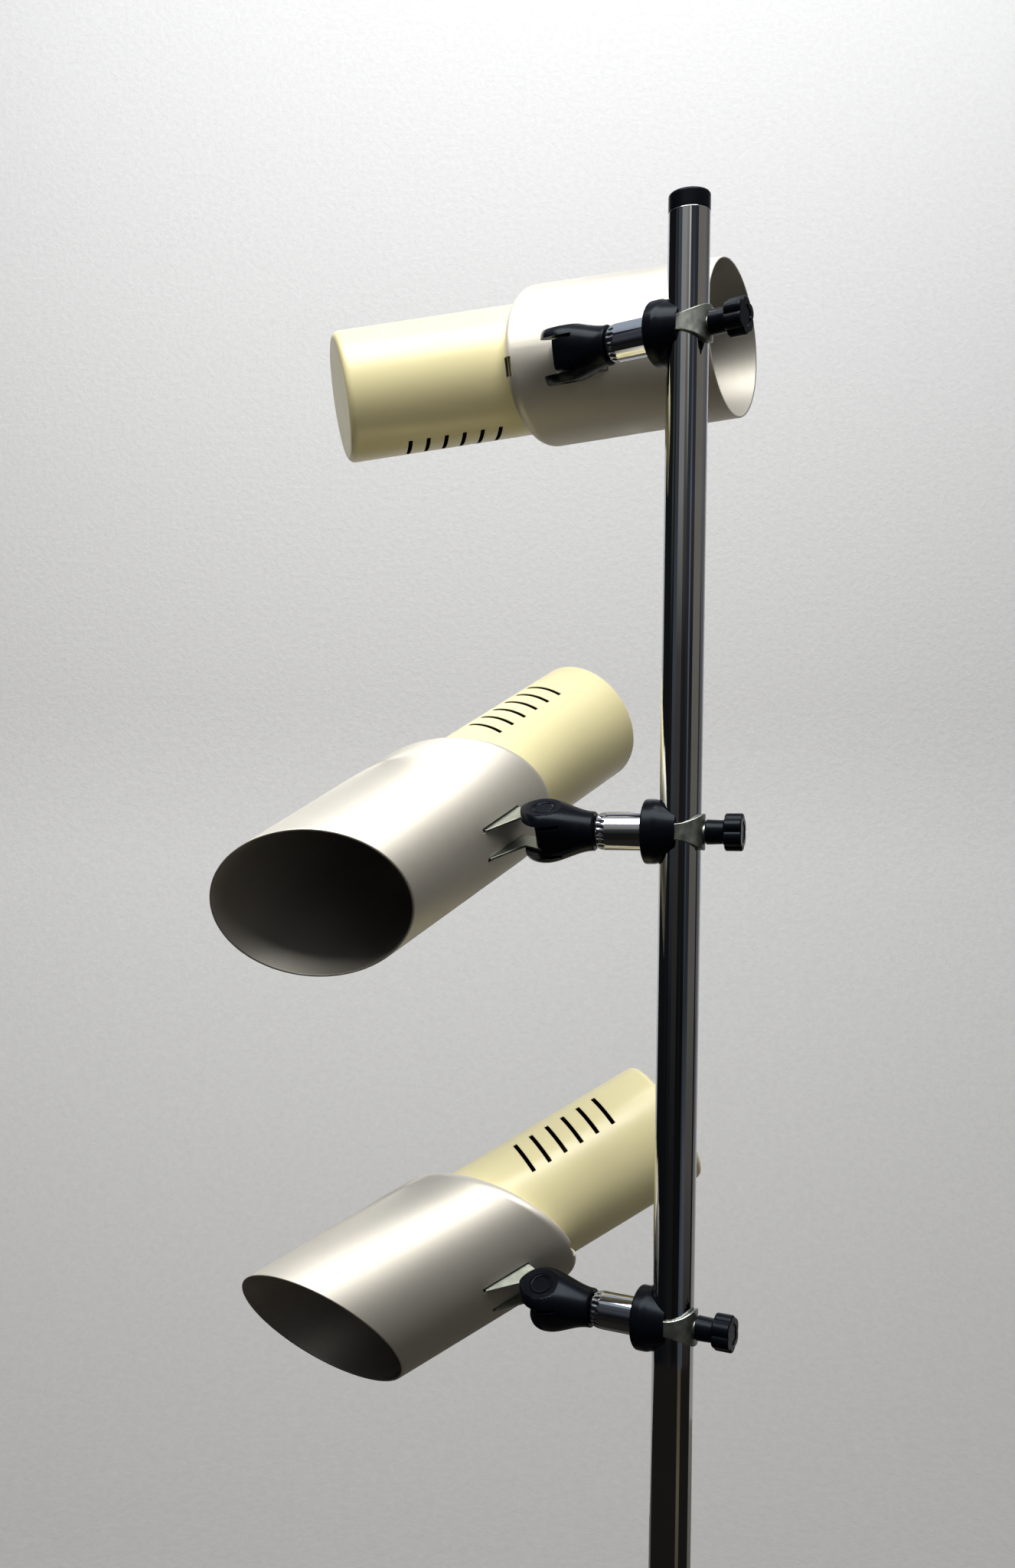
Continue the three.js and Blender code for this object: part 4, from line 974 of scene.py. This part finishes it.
def knuckle_cover(start, reach):
    """The closed cover, round at its neck and swollen at the pivot, with a blunt nose."""
    neck, lobe, swollen = KNUCKLE_NECK, KNUCKLE_LOBE, KNUCKLE_WIDTH / 2 + KNUCKLE_SWELL
    chamfer = KNUCKLE_CHAMFER
    rows = [[(start, 0, 0)], cover_section(start, neck - chamfer, neck - chamfer, 2)]
    for i in range(KNUCKLE_STEPS + 1):
        share = i / KNUCKLE_STEPS
        swell = share * share * (3 - 2 * share)
        place = start + chamfer + (reach - start - chamfer) * share
        width, height = neck + (swollen - neck) * swell, neck + (lobe - neck) * swell
        rows.append(cover_section(place, width, height, 2 + SQUARENESS * swell))
    for i in range(1, NOSE_STEPS + 1):
        share = i / NOSE_STEPS
        place, height = reach + KNUCKLE_NOSE * math.sin(NOSE_TURN * share), lobe * math.cos(NOSE_TURN * share)
        rows.append(cover_section(place, swollen * (1 - NOSE_TAPER * share ** 2), height, 2 + SQUARENESS))
    rows.append([(rows[-1][0][0], 0, 0)])
    return meshed(add_rows(bmesh.new(), rows, False))


def make_knuckle(spot):
    """A moulded cover that swells from its round neck into two cheeks round a tongue."""
    reach, half = pivot_reach(spot), KNUCKLE_WIDTH / 2
    start = collar_face() + FIT + SLEEVE_LENGTH + FIT
    far, tall = reach + KNUCKLE_LOBE + OVERRUN, KNUCKLE_LOBE + OVERRUN
    slot_in = BRACKET_WIDTH / 2 - BRACKET_SHEET - FIT
    slot_out = BRACKET_WIDTH / 2 + FIT
    cuts = []
    for side in (-1, 1):
        near, away = mirrored(side, slot_in, slot_out)
        cuts.append(block((reach - EAR_POCKET, near, -tall), (far, away, tall)))
        near, away = mirrored(side, half, half + OVERRUN)
        cuts.append(block((start - OVERRUN, near, -tall), (far, away, tall)))
    # the tongue between the ears is round about the pivot
    angles = [math.pi / 2 - math.pi * i / TONGUE_STEPS for i in range(TONGUE_STEPS + 1)]
    around = [(reach + KNUCKLE_TONGUE * math.cos(a), KNUCKLE_TONGUE * math.sin(a)) for a in angles]
    outline = [(reach, tall), (far, tall), (far, -tall), (reach, -tall)] + around[::-1]
    cuts.append(across(outline, -slot_in - LAP, slot_in + LAP))
    seat = start + KNUCKLE_NECK_WALL + FIT
    chamber = seat + NUT_CHAMBER_HEIGHT
    cuts.append(turned([
        (0, start - OVERRUN), (SLEEVE_HOLE, start - OVERRUN), (SLEEVE_HOLE, seat), (NUT_CHAMBER, seat),
        (NUT_CHAMBER, chamber), (WIRE_BORE, chamber), (WIRE_BORE, far), (0, far),
    ], SIDES_SMALL, ALONG_X))
    below, above = -half - OVERRUN, half + OVERRUN
    recess, recess_end = PIVOT_HEAD + FIT, FIT + PIVOT_HEAD_HEIGHT - half
    pocket = half - PIVOT_NUT_DEPTH
    hole = turned([
        (0, below), (recess, below), (recess, recess_end), (PIVOT_HOLE, recess_end), (PIVOT_HOLE, pocket),
        (PIVOT_NUT_POCKET, pocket), (PIVOT_NUT_POCKET, above), (0, above),
    ], SIDES_SMALL, ALONG_Y)
    cuts.append(moved(hole, reach, 0, 0))
    spot_piece(spot, "moulded_knuckle", carved(knuckle_cover(start, reach), cuts), arm_place, "knuckle_body",
               "black_plastic", "knuckle", edge=0.35)
    make_pivot_screw(spot)
    dress(f"{spot}_swivel_bolt", "steel")
    dress(f"{spot}_pivot_nut", "zinc")


def make_pivot_screw(spot):
    """A screw whose head has a raised ring round a shallow dish."""
    cheek, head, shank = -KNUCKLE_WIDTH / 2, PIVOT_HEAD, PIVOT_HOLE - FIT
    under, end = cheek + PIVOT_HEAD_HEIGHT, KNUCKLE_WIDTH / 2 - FIT
    screw = turned([
        *((head - inset, cheek + depth) for inset, depth in PIVOT_FACE),
        (head, under), (shank, under), (shank, end), (0, end),
    ], SIDES_SMALL, ALONG_Y)
    spot_piece(spot, "pivot_cap_screw", moved(screw, pivot_reach(spot), 0, 0), arm_place, "knuckle_body",
               "black_plastic", "pivot_screw")


# Head: bracket, shade, housing and lampholder; X from the pivot to the shade's axis

SHADE_SHEET = 1.2
SHADE_EDGE = 0.2
MOUTH_REACH = 121.3
NECK_REACH = -1.5
HOUSING_SHEET = 1
HOUSING_REACH = 121.8
HOUSING_ROUNDING = 4
HOUSING_FLANGE = 1.8
VENT_START = 32
VENT_PITCH = 10.9
VENT_WIDTH = 2.5
VENT_CHORD = 25
VENT_TURN = {"upper": -15, "middle": 0, "lower": 0}  # each housing can be turned in its shade
SLOT_WIDTH = 11
SLOT_LENGTH = 2.4
SLOT_INWARD = 3
SHADE_OFFSET = 66.2
EAR_EYE = 7
EAR_EYE_START = 3.15  # quarter turns
EAR_EYE_STEPS = 28
EAR_WAIST = 10.5
EAR_FOOT_BACK = 0.4
EAR_FOOT_FRONT = 27.5
# How an ear flares: share of the way out to the shade, and share of its growth in width
EAR_FLARE = ((0, 0), (0.1, 0.04), (0.2, 0.13), (1, 1))
EAR_SLOT_ROOM = 1.1
EAR_SLOT_END = 1.3
WEB_START = 1.1
WEB_INSET = 1.5
HOLDER_ROOM = 19.8  # between the housing's end and the lampholder's
HOLDER_LENGTH = 57
HOLDER_RADIUS = 20
HOLDER_CAP = 7.5
HOLDER_CAP_LENGTH = 7
HOLDER_CHAMFER = 0.5
HOLDER_DOME = 9.5
HOLDER_DOME_CENTRE = 16  # from the back
HOLDER_SKIRT = 20
HOLDER_SKIRT_STEP = 3
HOLDER_SKIRT_EDGE = 0.6
HOLDER_RIM = 1.2
HOLDER_RIM_BEVEL = 0.4
HOLDER_RIBS = 30
HOLDER_RIB_DEPTH = 0.35
HOLDER_RIB_LENGTH = 12  # of full depth
STUD_RADIUS = 5
STUD_LENGTH = 5
STUD_CHAMFER = 0.4
SOCKET_RADIUS = 13.7
SOCKET_DEPTH = 28
SOCKET_CHAMFER = 0.8


def shade_radius():
    return mm(sizes().shade_diameter) / 2 - SKIN


def housing_radius():
    return mm(sizes().housing_diameter) / 2 - SKIN


def shade_place(spot):
    """On the shade's own axis."""
    return head_place(spot) @ Matrix.Translation((SHADE_OFFSET * MM, 0, 0))


def web_inner():
    bore = shade_radius() - SHADE_SHEET
    return SHADE_OFFSET - math.sqrt(bore ** 2 - (BRACKET_WIDTH / 2) ** 2) + FIT + BRACKET_SHEET


def make_bracket(spot):
    """Two ears of bent sheet and the web that joins them inside the shade."""
    wall, inner, outer = SHADE_OFFSET - shade_radius(), web_inner(), BRACKET_WIDTH / 2
    flare = [(EAR_WAIST + (wall - EAR_WAIST) * out, EAR_EYE + (EAR_FOOT_FRONT - EAR_EYE) * up)
             for out, up in EAR_FLARE]
    outline = [(inner, -EAR_FOOT_BACK), *arc(0, 0, EAR_EYE, EAR_EYE_START, 1, EAR_EYE_STEPS), *flare,
               (inner, EAR_FOOT_FRONT)]
    forms = [across(outline, -outer, BRACKET_SHEET - outer), across(outline, outer - BRACKET_SHEET, outer)]
    forms.append(block((inner - BRACKET_SHEET, BRACKET_SHEET - outer, WEB_START),
                       (inner, outer - BRACKET_SHEET, EAR_FOOT_FRONT - WEB_INSET)))
    hole = rod(PIVOT_HOLE, -outer - OVERRUN, outer + OVERRUN, ALONG_Y)
    spot_piece(spot, "bent_bracket", carved(meshed(joined(forms)), [hole]), head_place, "spot_body",
               "zinc", "bracket", edge=0.2)


def neck_slot(behind):
    """Cutting block of the slot where the neck faces the knuckle. It starts a length behind the
    rearmost line of the slanted shoulder."""
    neck, slant = housing_radius() + FIT, sizes().shade_slant
    shoulder = shade_radius() - neck
    rear = NECK_REACH - neck * math.tan(slant) - shoulder * (1 / math.cos(slant) - 1)
    return block((-shade_radius() - OVERRUN, -SLOT_WIDTH / 2, rear - behind),
                 (-neck + SLOT_INWARD, SLOT_WIDTH / 2, rear + SLOT_LENGTH))


def make_shade(spot):
    """A turned cup slanted so that mouth and neck run alike, with a small bead at its mouth."""
    radius, slope = shade_radius(), math.tan(sizes().shade_slant)
    neck, bead = housing_radius() + FIT, SHADE_SHEET / 2
    shoulder = radius - neck
    start = NECK_REACH + shoulder
    body = meshed(slanted(turned([
        (neck, NECK_REACH + SHADE_SHEET), (neck, NECK_REACH + SHADE_EDGE), (neck + SHADE_EDGE, NECK_REACH),
        *arc(neck, start, shoulder, -1, 0, 12)[1:],
        *arc(radius - bead, MOUTH_REACH - bead, bead, 0, 2, 8),
        *arc(neck, start, shoulder - SHADE_SHEET, 0, -1, 10), (neck, NECK_REACH + SHADE_SHEET),
    ], SIDES_SHADE), slope))
    cuts = []
    low, high, outer = -EAR_FOOT_BACK - EAR_SLOT_END, EAR_FOOT_FRONT + EAR_SLOT_END, BRACKET_WIDTH / 2
    for side in (-1, 1):
        near, away = mirrored(side, outer - BRACKET_SHEET - FIT, outer + EAR_SLOT_ROOM)
        cuts.append(block((-radius - OVERRUN, near, low), (-radius / 2, away, high)))
    cuts.append(neck_slot(OVERRUN))
    spot_piece(spot, "spun_shade", carved(body, cuts), shade_place, "spot_body", "aluminium", "shade")


def make_housing(spot):
    """A drawn cup cut off along the shade's neck, with an inner flange and a row of vents."""
    radius, slope = housing_radius(), math.tan(sizes().shade_slant)
    inner, back, rounding = radius - HOUSING_SHEET, -HOUSING_REACH, HOUSING_ROUNDING
    beyond = HOUSING_FLANGE - FIT
    flange_low = NECK_REACH + SHADE_SHEET + FIT + beyond * math.tan(math.pi / 8)
    flange_high = flange_low + HOUSING_SHEET
    high = flange_high + radius * slope + OVERRUN
    centre, start = radius - rounding, back + rounding
    cup = meshed(turned([
        (0, back), *arc(centre, start, rounding, -1, 0, 12), (radius, high), (inner, high),
        *arc(centre, start, rounding - HOUSING_SHEET, 0, -1, 8), (0, back + HOUSING_SHEET),
    ], SIDES_SHADE))
    clear, chord = radius + OVERRUN, VENT_CHORD / 2
    cuts = [slanted(block((-clear, -clear, flange_high), (clear, clear, HOUSING_REACH)), slope)]
    deep = math.sqrt(inner ** 2 - chord ** 2) - OVERRUN
    turn = Matrix.Rotation(math.radians(VENT_TURN[spot]), 4, "Z")
    for i in range(sizes().vent_count):
        place = -VENT_START - VENT_PITCH * i
        vent = block((-chord, -clear, place - VENT_WIDTH / 2), (chord, -deep, place + VENT_WIDTH / 2))
        vent.transform(turn)
        cuts.append(vent)
    cuts.append(neck_slot(-SLOT_LENGTH / 3))
    root, rim, front = radius - HOUSING_SHEET / 2, radius + HOUSING_FLANGE, flange_high - LAP
    lip = meshed(slanted(turned([
        (root, flange_low), (rim, flange_low), (rim, front), (root, front), (root, flange_low),
    ], SIDES_SHADE), slope))
    whole = bmesh.new()
    for mesh in (carved(cup, cuts), carved(lip, [neck_slot(OVERRUN)])):
        whole.from_mesh(mesh)
    whole.transform(Matrix.Scale(1 / MM, 4))
    spot_piece(spot, "cream_housing", whole, shade_place, "spot_body", "cream", "housing", edge=0.15)


def make_lampholder(spot):
    """Stud, domed back, ribbed skirt and open socket."""
    outer, cap, stud, socket = HOLDER_RADIUS, HOLDER_CAP, STUD_RADIUS, SOCKET_RADIUS
    back = FIT + HOLDER_ROOM - HOUSING_REACH
    front = back + HOLDER_LENGTH
    depth, skirt, tail = front - SOCKET_DEPTH, front - HOLDER_SKIRT, back - STUD_LENGTH
    edge, rim = HOLDER_SKIRT_EDGE, HOLDER_RIM

    def ribbed(radius, height, angle):
        if radius < outer - edge * 1.5 or height < skirt + edge * 1.5:
            return radius
        return radius - HOLDER_RIB_DEPTH * (0.5 + 0.5 * math.cos(angle * HOLDER_RIBS))

    form = turned([
        (0, tail), (stud - STUD_CHAMFER, tail), (stud, tail + STUD_CHAMFER), (stud, back),
        (cap - HOLDER_CHAMFER, back), (cap, back + HOLDER_CHAMFER), (cap, back + HOLDER_CAP_LENGTH),
        *arc(cap, back + HOLDER_DOME_CENTRE, HOLDER_DOME, -1, 0, 6)[1:], (outer - HOLDER_SKIRT_STEP, skirt),
        (outer - edge, skirt), (outer, skirt + edge), (outer, front - HOLDER_RIB_LENGTH),
        (outer, front - rim), (outer - rim / 2, front - HOLDER_RIM_BEVEL), (outer - rim, front),
        (socket + SOCKET_CHAMFER, front), (socket, front - SOCKET_CHAMFER), (socket, depth), (0, depth),
    ], SIDES_ROUND, None, ribbed)
    spot_piece(spot, "bulb_holder", form, shade_place, "spot_body", "bakelite", "lampholder")
    dress(f"{spot}_holder_strip", "zinc")
    dress(f"{spot}_strip_screw", "zinc")


# Stage: backdrop, lamps and camera

# Upright strips of a dim room round the lamp, seen only in reflections: from and to which
# azimuth each one stands, its tint, and its brightness at the room's heights
ROOM_RADIUS = 2.5
ROOM_HEIGHTS = (3.4, 2.5, 1.9, 1.55, 0.8, 0.45, 0.02)
COOL, EVEN, WARM = (0.82, 0.92, 1.1), (1, 1, 1), (1.08, 1.0, 0.88)
ROOM_STRIPS = (
    (-236, -177, COOL, (0.010, 0.010, 0.012, 0.010, 0.008, 0.006, 0.006)),
    (-177, -168, EVEN, (0.040, 0.040, 0.055, 0.012, 0.010, 0.006, 0.006)),
    (-168, -160, COOL, (0.030, 0.030, 0.018, 0.012, 0.006, 0.006, 0.006)),
    (-160, -140, COOL, (0.110, 0.090, 0.060, 0.080, 0.014, 0.009, 0.008)),
    (-140, -112, EVEN, (0.420, 0.330, 0.240, 0.060, 0.024, 0.011, 0.010)),
    (-112, -100, WARM, (0.360, 0.260, 0.080, 0.020, 0.006, 0.006, 0.006)),
    (-100, -92, EVEN, (0.900, 0.700, 0.070, 0.016, 0.010, 0.006, 0.006)),
    (-92, -76, COOL, (0.070, 0.055, 0.045, 0.026, 0.006, 0.006, 0.008)),
    (-76, -68, COOL, (0.060, 0.050, 0.160, 0.120, 0.040, 0.050, 0.080)),
    (-68, -50, COOL, (0.050, 0.038, 0.045, 0.018, 0.040, 0.100, 0.080)),
    (-50, -4, WARM, (0.240, 0.190, 0.170, 0.160, 0.110, 0.080, 0.020)),
    (-4, 8, EVEN, (0.200, 0.180, 0.140, 0.040, 0.016, 0.008, 0.008)),
)
# Rings of the room's floor: distance from the pole, brightness in general and of the brown streak
ROOM_FLOOR = (
    (0.15, 0.022, 0.022), (0.9, 0.016, 0.030), (1.2, 0.010, 0.040), (1.9, 0.012, 0.110),
    (ROOM_RADIUS, 0.012, 0.080),
)
ROOM_FLOOR_BEHIND = ((0.15, 0.05), (1.2, 0.1), (2.2, 0.18))
ROOM_CEILING = ((0.02, 0.5), (1.2, 0.55), (ROOM_RADIUS, 0.4))
ROOM_STEP = 4  # degrees
BROWN_STREAK = (-74, -56)
BROWN = (1.2, 0.95, 0.68)


def make_room():
    """The dim room in front, which gives bright metal its dark streaks. Only reflections see it."""
    form = bmesh.new()
    glow = form.verts.layers.float_color.new("glow")

    def sheet(start, end, tint, rows):
        steps = max(1, round((end - start) / ROOM_STEP))
        made = []
        for distance, height, brightness in rows:
            row = []
            for i in range(steps + 1):
                angle = math.radians(start + (end - start) * i / steps)
                vert = form.verts.new((distance * math.cos(angle), distance * math.sin(angle), height))
                vert[glow] = (*(brightness * share for share in tint), 1)
                row.append(vert)
            made.append(row)
        for low, high in zip(made, made[1:]):
            for i in range(steps):
                form.faces.new((low[i], low[i + 1], high[i + 1], high[i]))

    for start, end, tint, levels in ROOM_STRIPS:
        sheet(start, end, tint, [(ROOM_RADIUS, z, level) for z, level in zip(ROOM_HEIGHTS, levels)])
    first, last = ROOM_STRIPS[0][0], ROOM_STRIPS[-1][1]
    low = ROOM_HEIGHTS[-1]
    for start, end in ((first, BROWN_STREAK[0]), (BROWN_STREAK[1], last)):
        sheet(start, end, WARM, [(distance, low, level) for distance, level, _ in ROOM_FLOOR])
    sheet(*BROWN_STREAK, BROWN, [(distance, low, level) for distance, _, level in ROOM_FLOOR])
    sheet(last, first + 360, WARM, [(distance, low, level) for distance, level in ROOM_FLOOR_BEHIND])
    sheet(first, first + 360, COOL, [(distance, ROOM_HEIGHTS[0], level) for distance, level in ROOM_CEILING])
    mesh = bpy.data.meshes.new("dim_room")
    form.to_mesh(mesh)
    form.free()
    material = bpy.data.materials.new("dim_room")
    material.use_nodes = True
    tree = material.node_tree
    tree.nodes.clear()
    level = tree.nodes.new("ShaderNodeAttribute")
    level.attribute_name = "glow"
    lit = tree.nodes.new("ShaderNodeEmission")
    out = tree.nodes.new("ShaderNodeOutputMaterial")
    tree.links.new(level.outputs["Color"], lit.inputs["Color"])
    tree.links.new(lit.outputs["Emission"], out.inputs["Surface"])
    mesh.materials.append(material)
    thing = shown("dim_room", mesh)
    thing.visible_camera = thing.visible_diffuse = thing.visible_shadow = False
    thing.visible_transmission = False


def soft_lamp(name, centre, facing, width, height, power, colour):
    """A rectangular lamp turned towards a point; sizes in metres, power in watts."""
    light = bpy.data.lights.new(name, "AREA")
    light.shape, light.size, light.size_y = "RECTANGLE", width, height
    light.energy, light.color = power, colour
    thing = shown(name, light)
    thing.location = centre
    thing.rotation_mode = "QUATERNION"
    thing.rotation_quaternion = (Vector(facing) - Vector(centre)).to_track_quat("-Z", "Y")


# Section of the backdrop, in metres
BACKDROP_FRONT = -4.5
BACKDROP_FOOT = 1.5
BACKDROP_SWEEP = 1.5
BACKDROP_STEPS = 24
BACKDROP_TOP = 6
BACKDROP_HALF_WIDTH = 9


def make_backdrop():
    """Floor that sweeps up into a wall well behind the lamp."""
    foot, sweep, half = BACKDROP_FOOT, BACKDROP_SWEEP, BACKDROP_HALF_WIDTH
    line = [(BACKDROP_FRONT, 0), (-2, 0), (0, 0), (foot, 0)]
    for i in range(1, BACKDROP_STEPS + 1):
        angle = i / BACKDROP_STEPS * math.pi / 2
        line.append((foot + sweep * math.sin(angle), sweep - sweep * math.cos(angle)))
    line.append((foot + sweep, BACKDROP_TOP))
    form = bmesh.new()
    made = [[form.verts.new((x, y, z)) for x in (-half, half)] for y, z in line]
    for low, high in zip(made, made[1:]):
        form.faces.new((low[0], low[1], high[1], high[0]))
    mesh = bpy.data.meshes.new("pale_backdrop")
    form.to_mesh(mesh)
    form.free()
    for face in mesh.polygons:
        face.use_smooth = True
    mesh.materials.append(finish("backdrop"))
    shown("pale_backdrop", mesh)


# The photograph's frame in pixels, and where its camera's axis meets it
FRAME_WIDTH, FRAME_HEIGHT = 1326, 2048
AXIS_ACROSS, AXIS_DOWN = 435.45, 1134.94
FOCAL_LENGTH = 1959.7  # in the same pixels
SENSOR_HEIGHT = 36
CAMERA_PITCH = math.radians(1.261)  # down
CAMERA_ROLL = math.radians(0.558)
CAMERA_PLACE = (-0.18478, -0.8001, 1.15931)


def make_camera():
    """The photograph's viewpoint, found by fitting the model to it."""
    ahead = Vector((0, math.cos(CAMERA_PITCH), -math.sin(CAMERA_PITCH)))
    above = Vector((0, math.sin(CAMERA_PITCH), math.cos(CAMERA_PITCH)))
    side = Vector((1, 0, 0))
    x = math.cos(CAMERA_ROLL) * side + math.sin(CAMERA_ROLL) * above
    y = -math.sin(CAMERA_ROLL) * side + math.cos(CAMERA_ROLL) * above
    data = bpy.data.cameras.new("photo_camera")
    data.sensor_fit, data.sensor_height, data.sensor_width = "VERTICAL", SENSOR_HEIGHT, SENSOR_HEIGHT
    data.lens = FOCAL_LENGTH * SENSOR_HEIGHT / FRAME_HEIGHT
    data.shift_x = (FRAME_WIDTH / 2 - AXIS_ACROSS) / FRAME_HEIGHT
    data.shift_y = (AXIS_DOWN - FRAME_HEIGHT / 2) / FRAME_HEIGHT
    data.clip_start, data.clip_end = 0.05, 50
    thing = shown("photo_camera", data)
    thing.matrix_world = Matrix.Translation(CAMERA_PLACE) @ Matrix((x, y, -ahead)).transposed().to_4x4()
    bpy.context.scene.camera = thing


def make_stage():
    """Backdrop, a weak sky, a lamp overhead and one that washes the wall, and the camera."""
    scene = bpy.context.scene
    scene.view_settings.view_transform = "Standard"
    world = bpy.data.worlds.new("room")
    world.use_nodes = True
    scene.world = world
    background = world.node_tree.nodes["Background"]
    background.inputs["Color"].default_value = (0.86, 0.9, 1.0, 1)
    background.inputs["Strength"].default_value = 0.15
    make_backdrop()
    soft_lamp("ceiling_lamp", (-0.25, -0.85, 3.1), (-0.1, 0.0, 1.2), 2.4, 1.3, 88, (1.0, 0.985, 0.95))
    soft_lamp("wall_wash", (0.45, 1.2, 4.3), (0.45, 3.0, 2.4), 4.0, 0.8, 80, (0.98, 0.985, 1.0))
    make_room()
    make_camera()


# Operators, panel and registration

class LAMP_OT_stand(bpy.types.Operator):
    """Makes the chromed pole, its end plug, the base and the foot ring"""

    bl_idname = "lamp.stand"
    bl_label = "Stand"

    def execute(self, context):
        make_pole()
        make_plug()
        make_base()
        make_foot_ring()
        return {"FINISHED"}


class LAMP_OT_clamps(bpy.types.Operator):
    """Makes each spot's collar, strap, thumb knob and sleeve"""

    bl_idname = "lamp.clamps"
    bl_label = "Clamps"

    def execute(self, context):
        for spot in SPOTS:
            make_collar(spot)
            make_strap(spot)
            make_knob(spot)
            make_sleeve(spot)
        return {"FINISHED"}


class LAMP_OT_knuckles(bpy.types.Operator):
    """Makes each spot's moulded knuckle and its pivot screw"""

    bl_idname = "lamp.knuckles"
    bl_label = "Knuckles"

    def execute(self, context):
        for spot in SPOTS:
            make_knuckle(spot)
        return {"FINISHED"}


class LAMP_OT_shades(bpy.types.Operator):
    """Makes each spot's slanted shade and the bracket that carries it"""

    bl_idname = "lamp.shades"
    bl_label = "Shades"

    def execute(self, context):
        for spot in SPOTS:
            make_bracket(spot)
            make_shade(spot)
        return {"FINISHED"}


class LAMP_OT_housings(bpy.types.Operator):
    """Makes each spot's cream housing and the lampholder in it"""

    bl_idname = "lamp.housings"
    bl_label = "Housings"

    def execute(self, context):
        for spot in SPOTS:
            make_housing(spot)
            make_lampholder(spot)
        return {"FINISHED"}


class LAMP_OT_stage(bpy.types.Operator):
    """Sets up the backdrop, the lamps and the camera"""

    bl_idname = "lamp.stage"
    bl_label = "Stage"

    def execute(self, context):
        make_stage()
        return {"FINISHED"}


class LAMP_PT_panel(bpy.types.Panel):
    """Lists the lamp's sizes, finishes and building steps"""

    bl_label = "Pole lamp"
    bl_idname = "LAMP_PT_panel"
    bl_space_type = "VIEW_3D"
    bl_region_type = "UI"
    bl_category = "Pole lamp"

    def draw(self, context):
        layout = self.layout
        for group in (context.scene.lamp_sizes, context.scene.lamp_finishes):
            box = layout.box()
            for name in group.__annotations__:
                box.prop(group, name)
        for step in OPERATORS:
            layout.operator(step.bl_idname)


OPERATORS = (
    LAMP_OT_stand, LAMP_OT_clamps, LAMP_OT_knuckles, LAMP_OT_shades, LAMP_OT_housings, LAMP_OT_stage,
)
CLASSES = (LampSizes, LampFinishes, *OPERATORS, LAMP_PT_panel)


def register():
    for cls in CLASSES:
        bpy.utils.register_class(cls)
    bpy.types.Scene.lamp_sizes = bpy.props.PointerProperty(type=LampSizes)
    bpy.types.Scene.lamp_finishes = bpy.props.PointerProperty(type=LampFinishes)


def unregister():
    del bpy.types.Scene.lamp_finishes
    del bpy.types.Scene.lamp_sizes
    for cls in reversed(CLASSES):
        bpy.utils.unregister_class(cls)


def main():
    register()
    bpy.ops.lamp.stand()
    bpy.ops.lamp.clamps()
    bpy.ops.lamp.knuckles()
    bpy.ops.lamp.shades()
    bpy.ops.lamp.housings()
    bpy.ops.lamp.stage()
    bpy.context.view_layer.update()


if __name__ == "__main__":
    main()
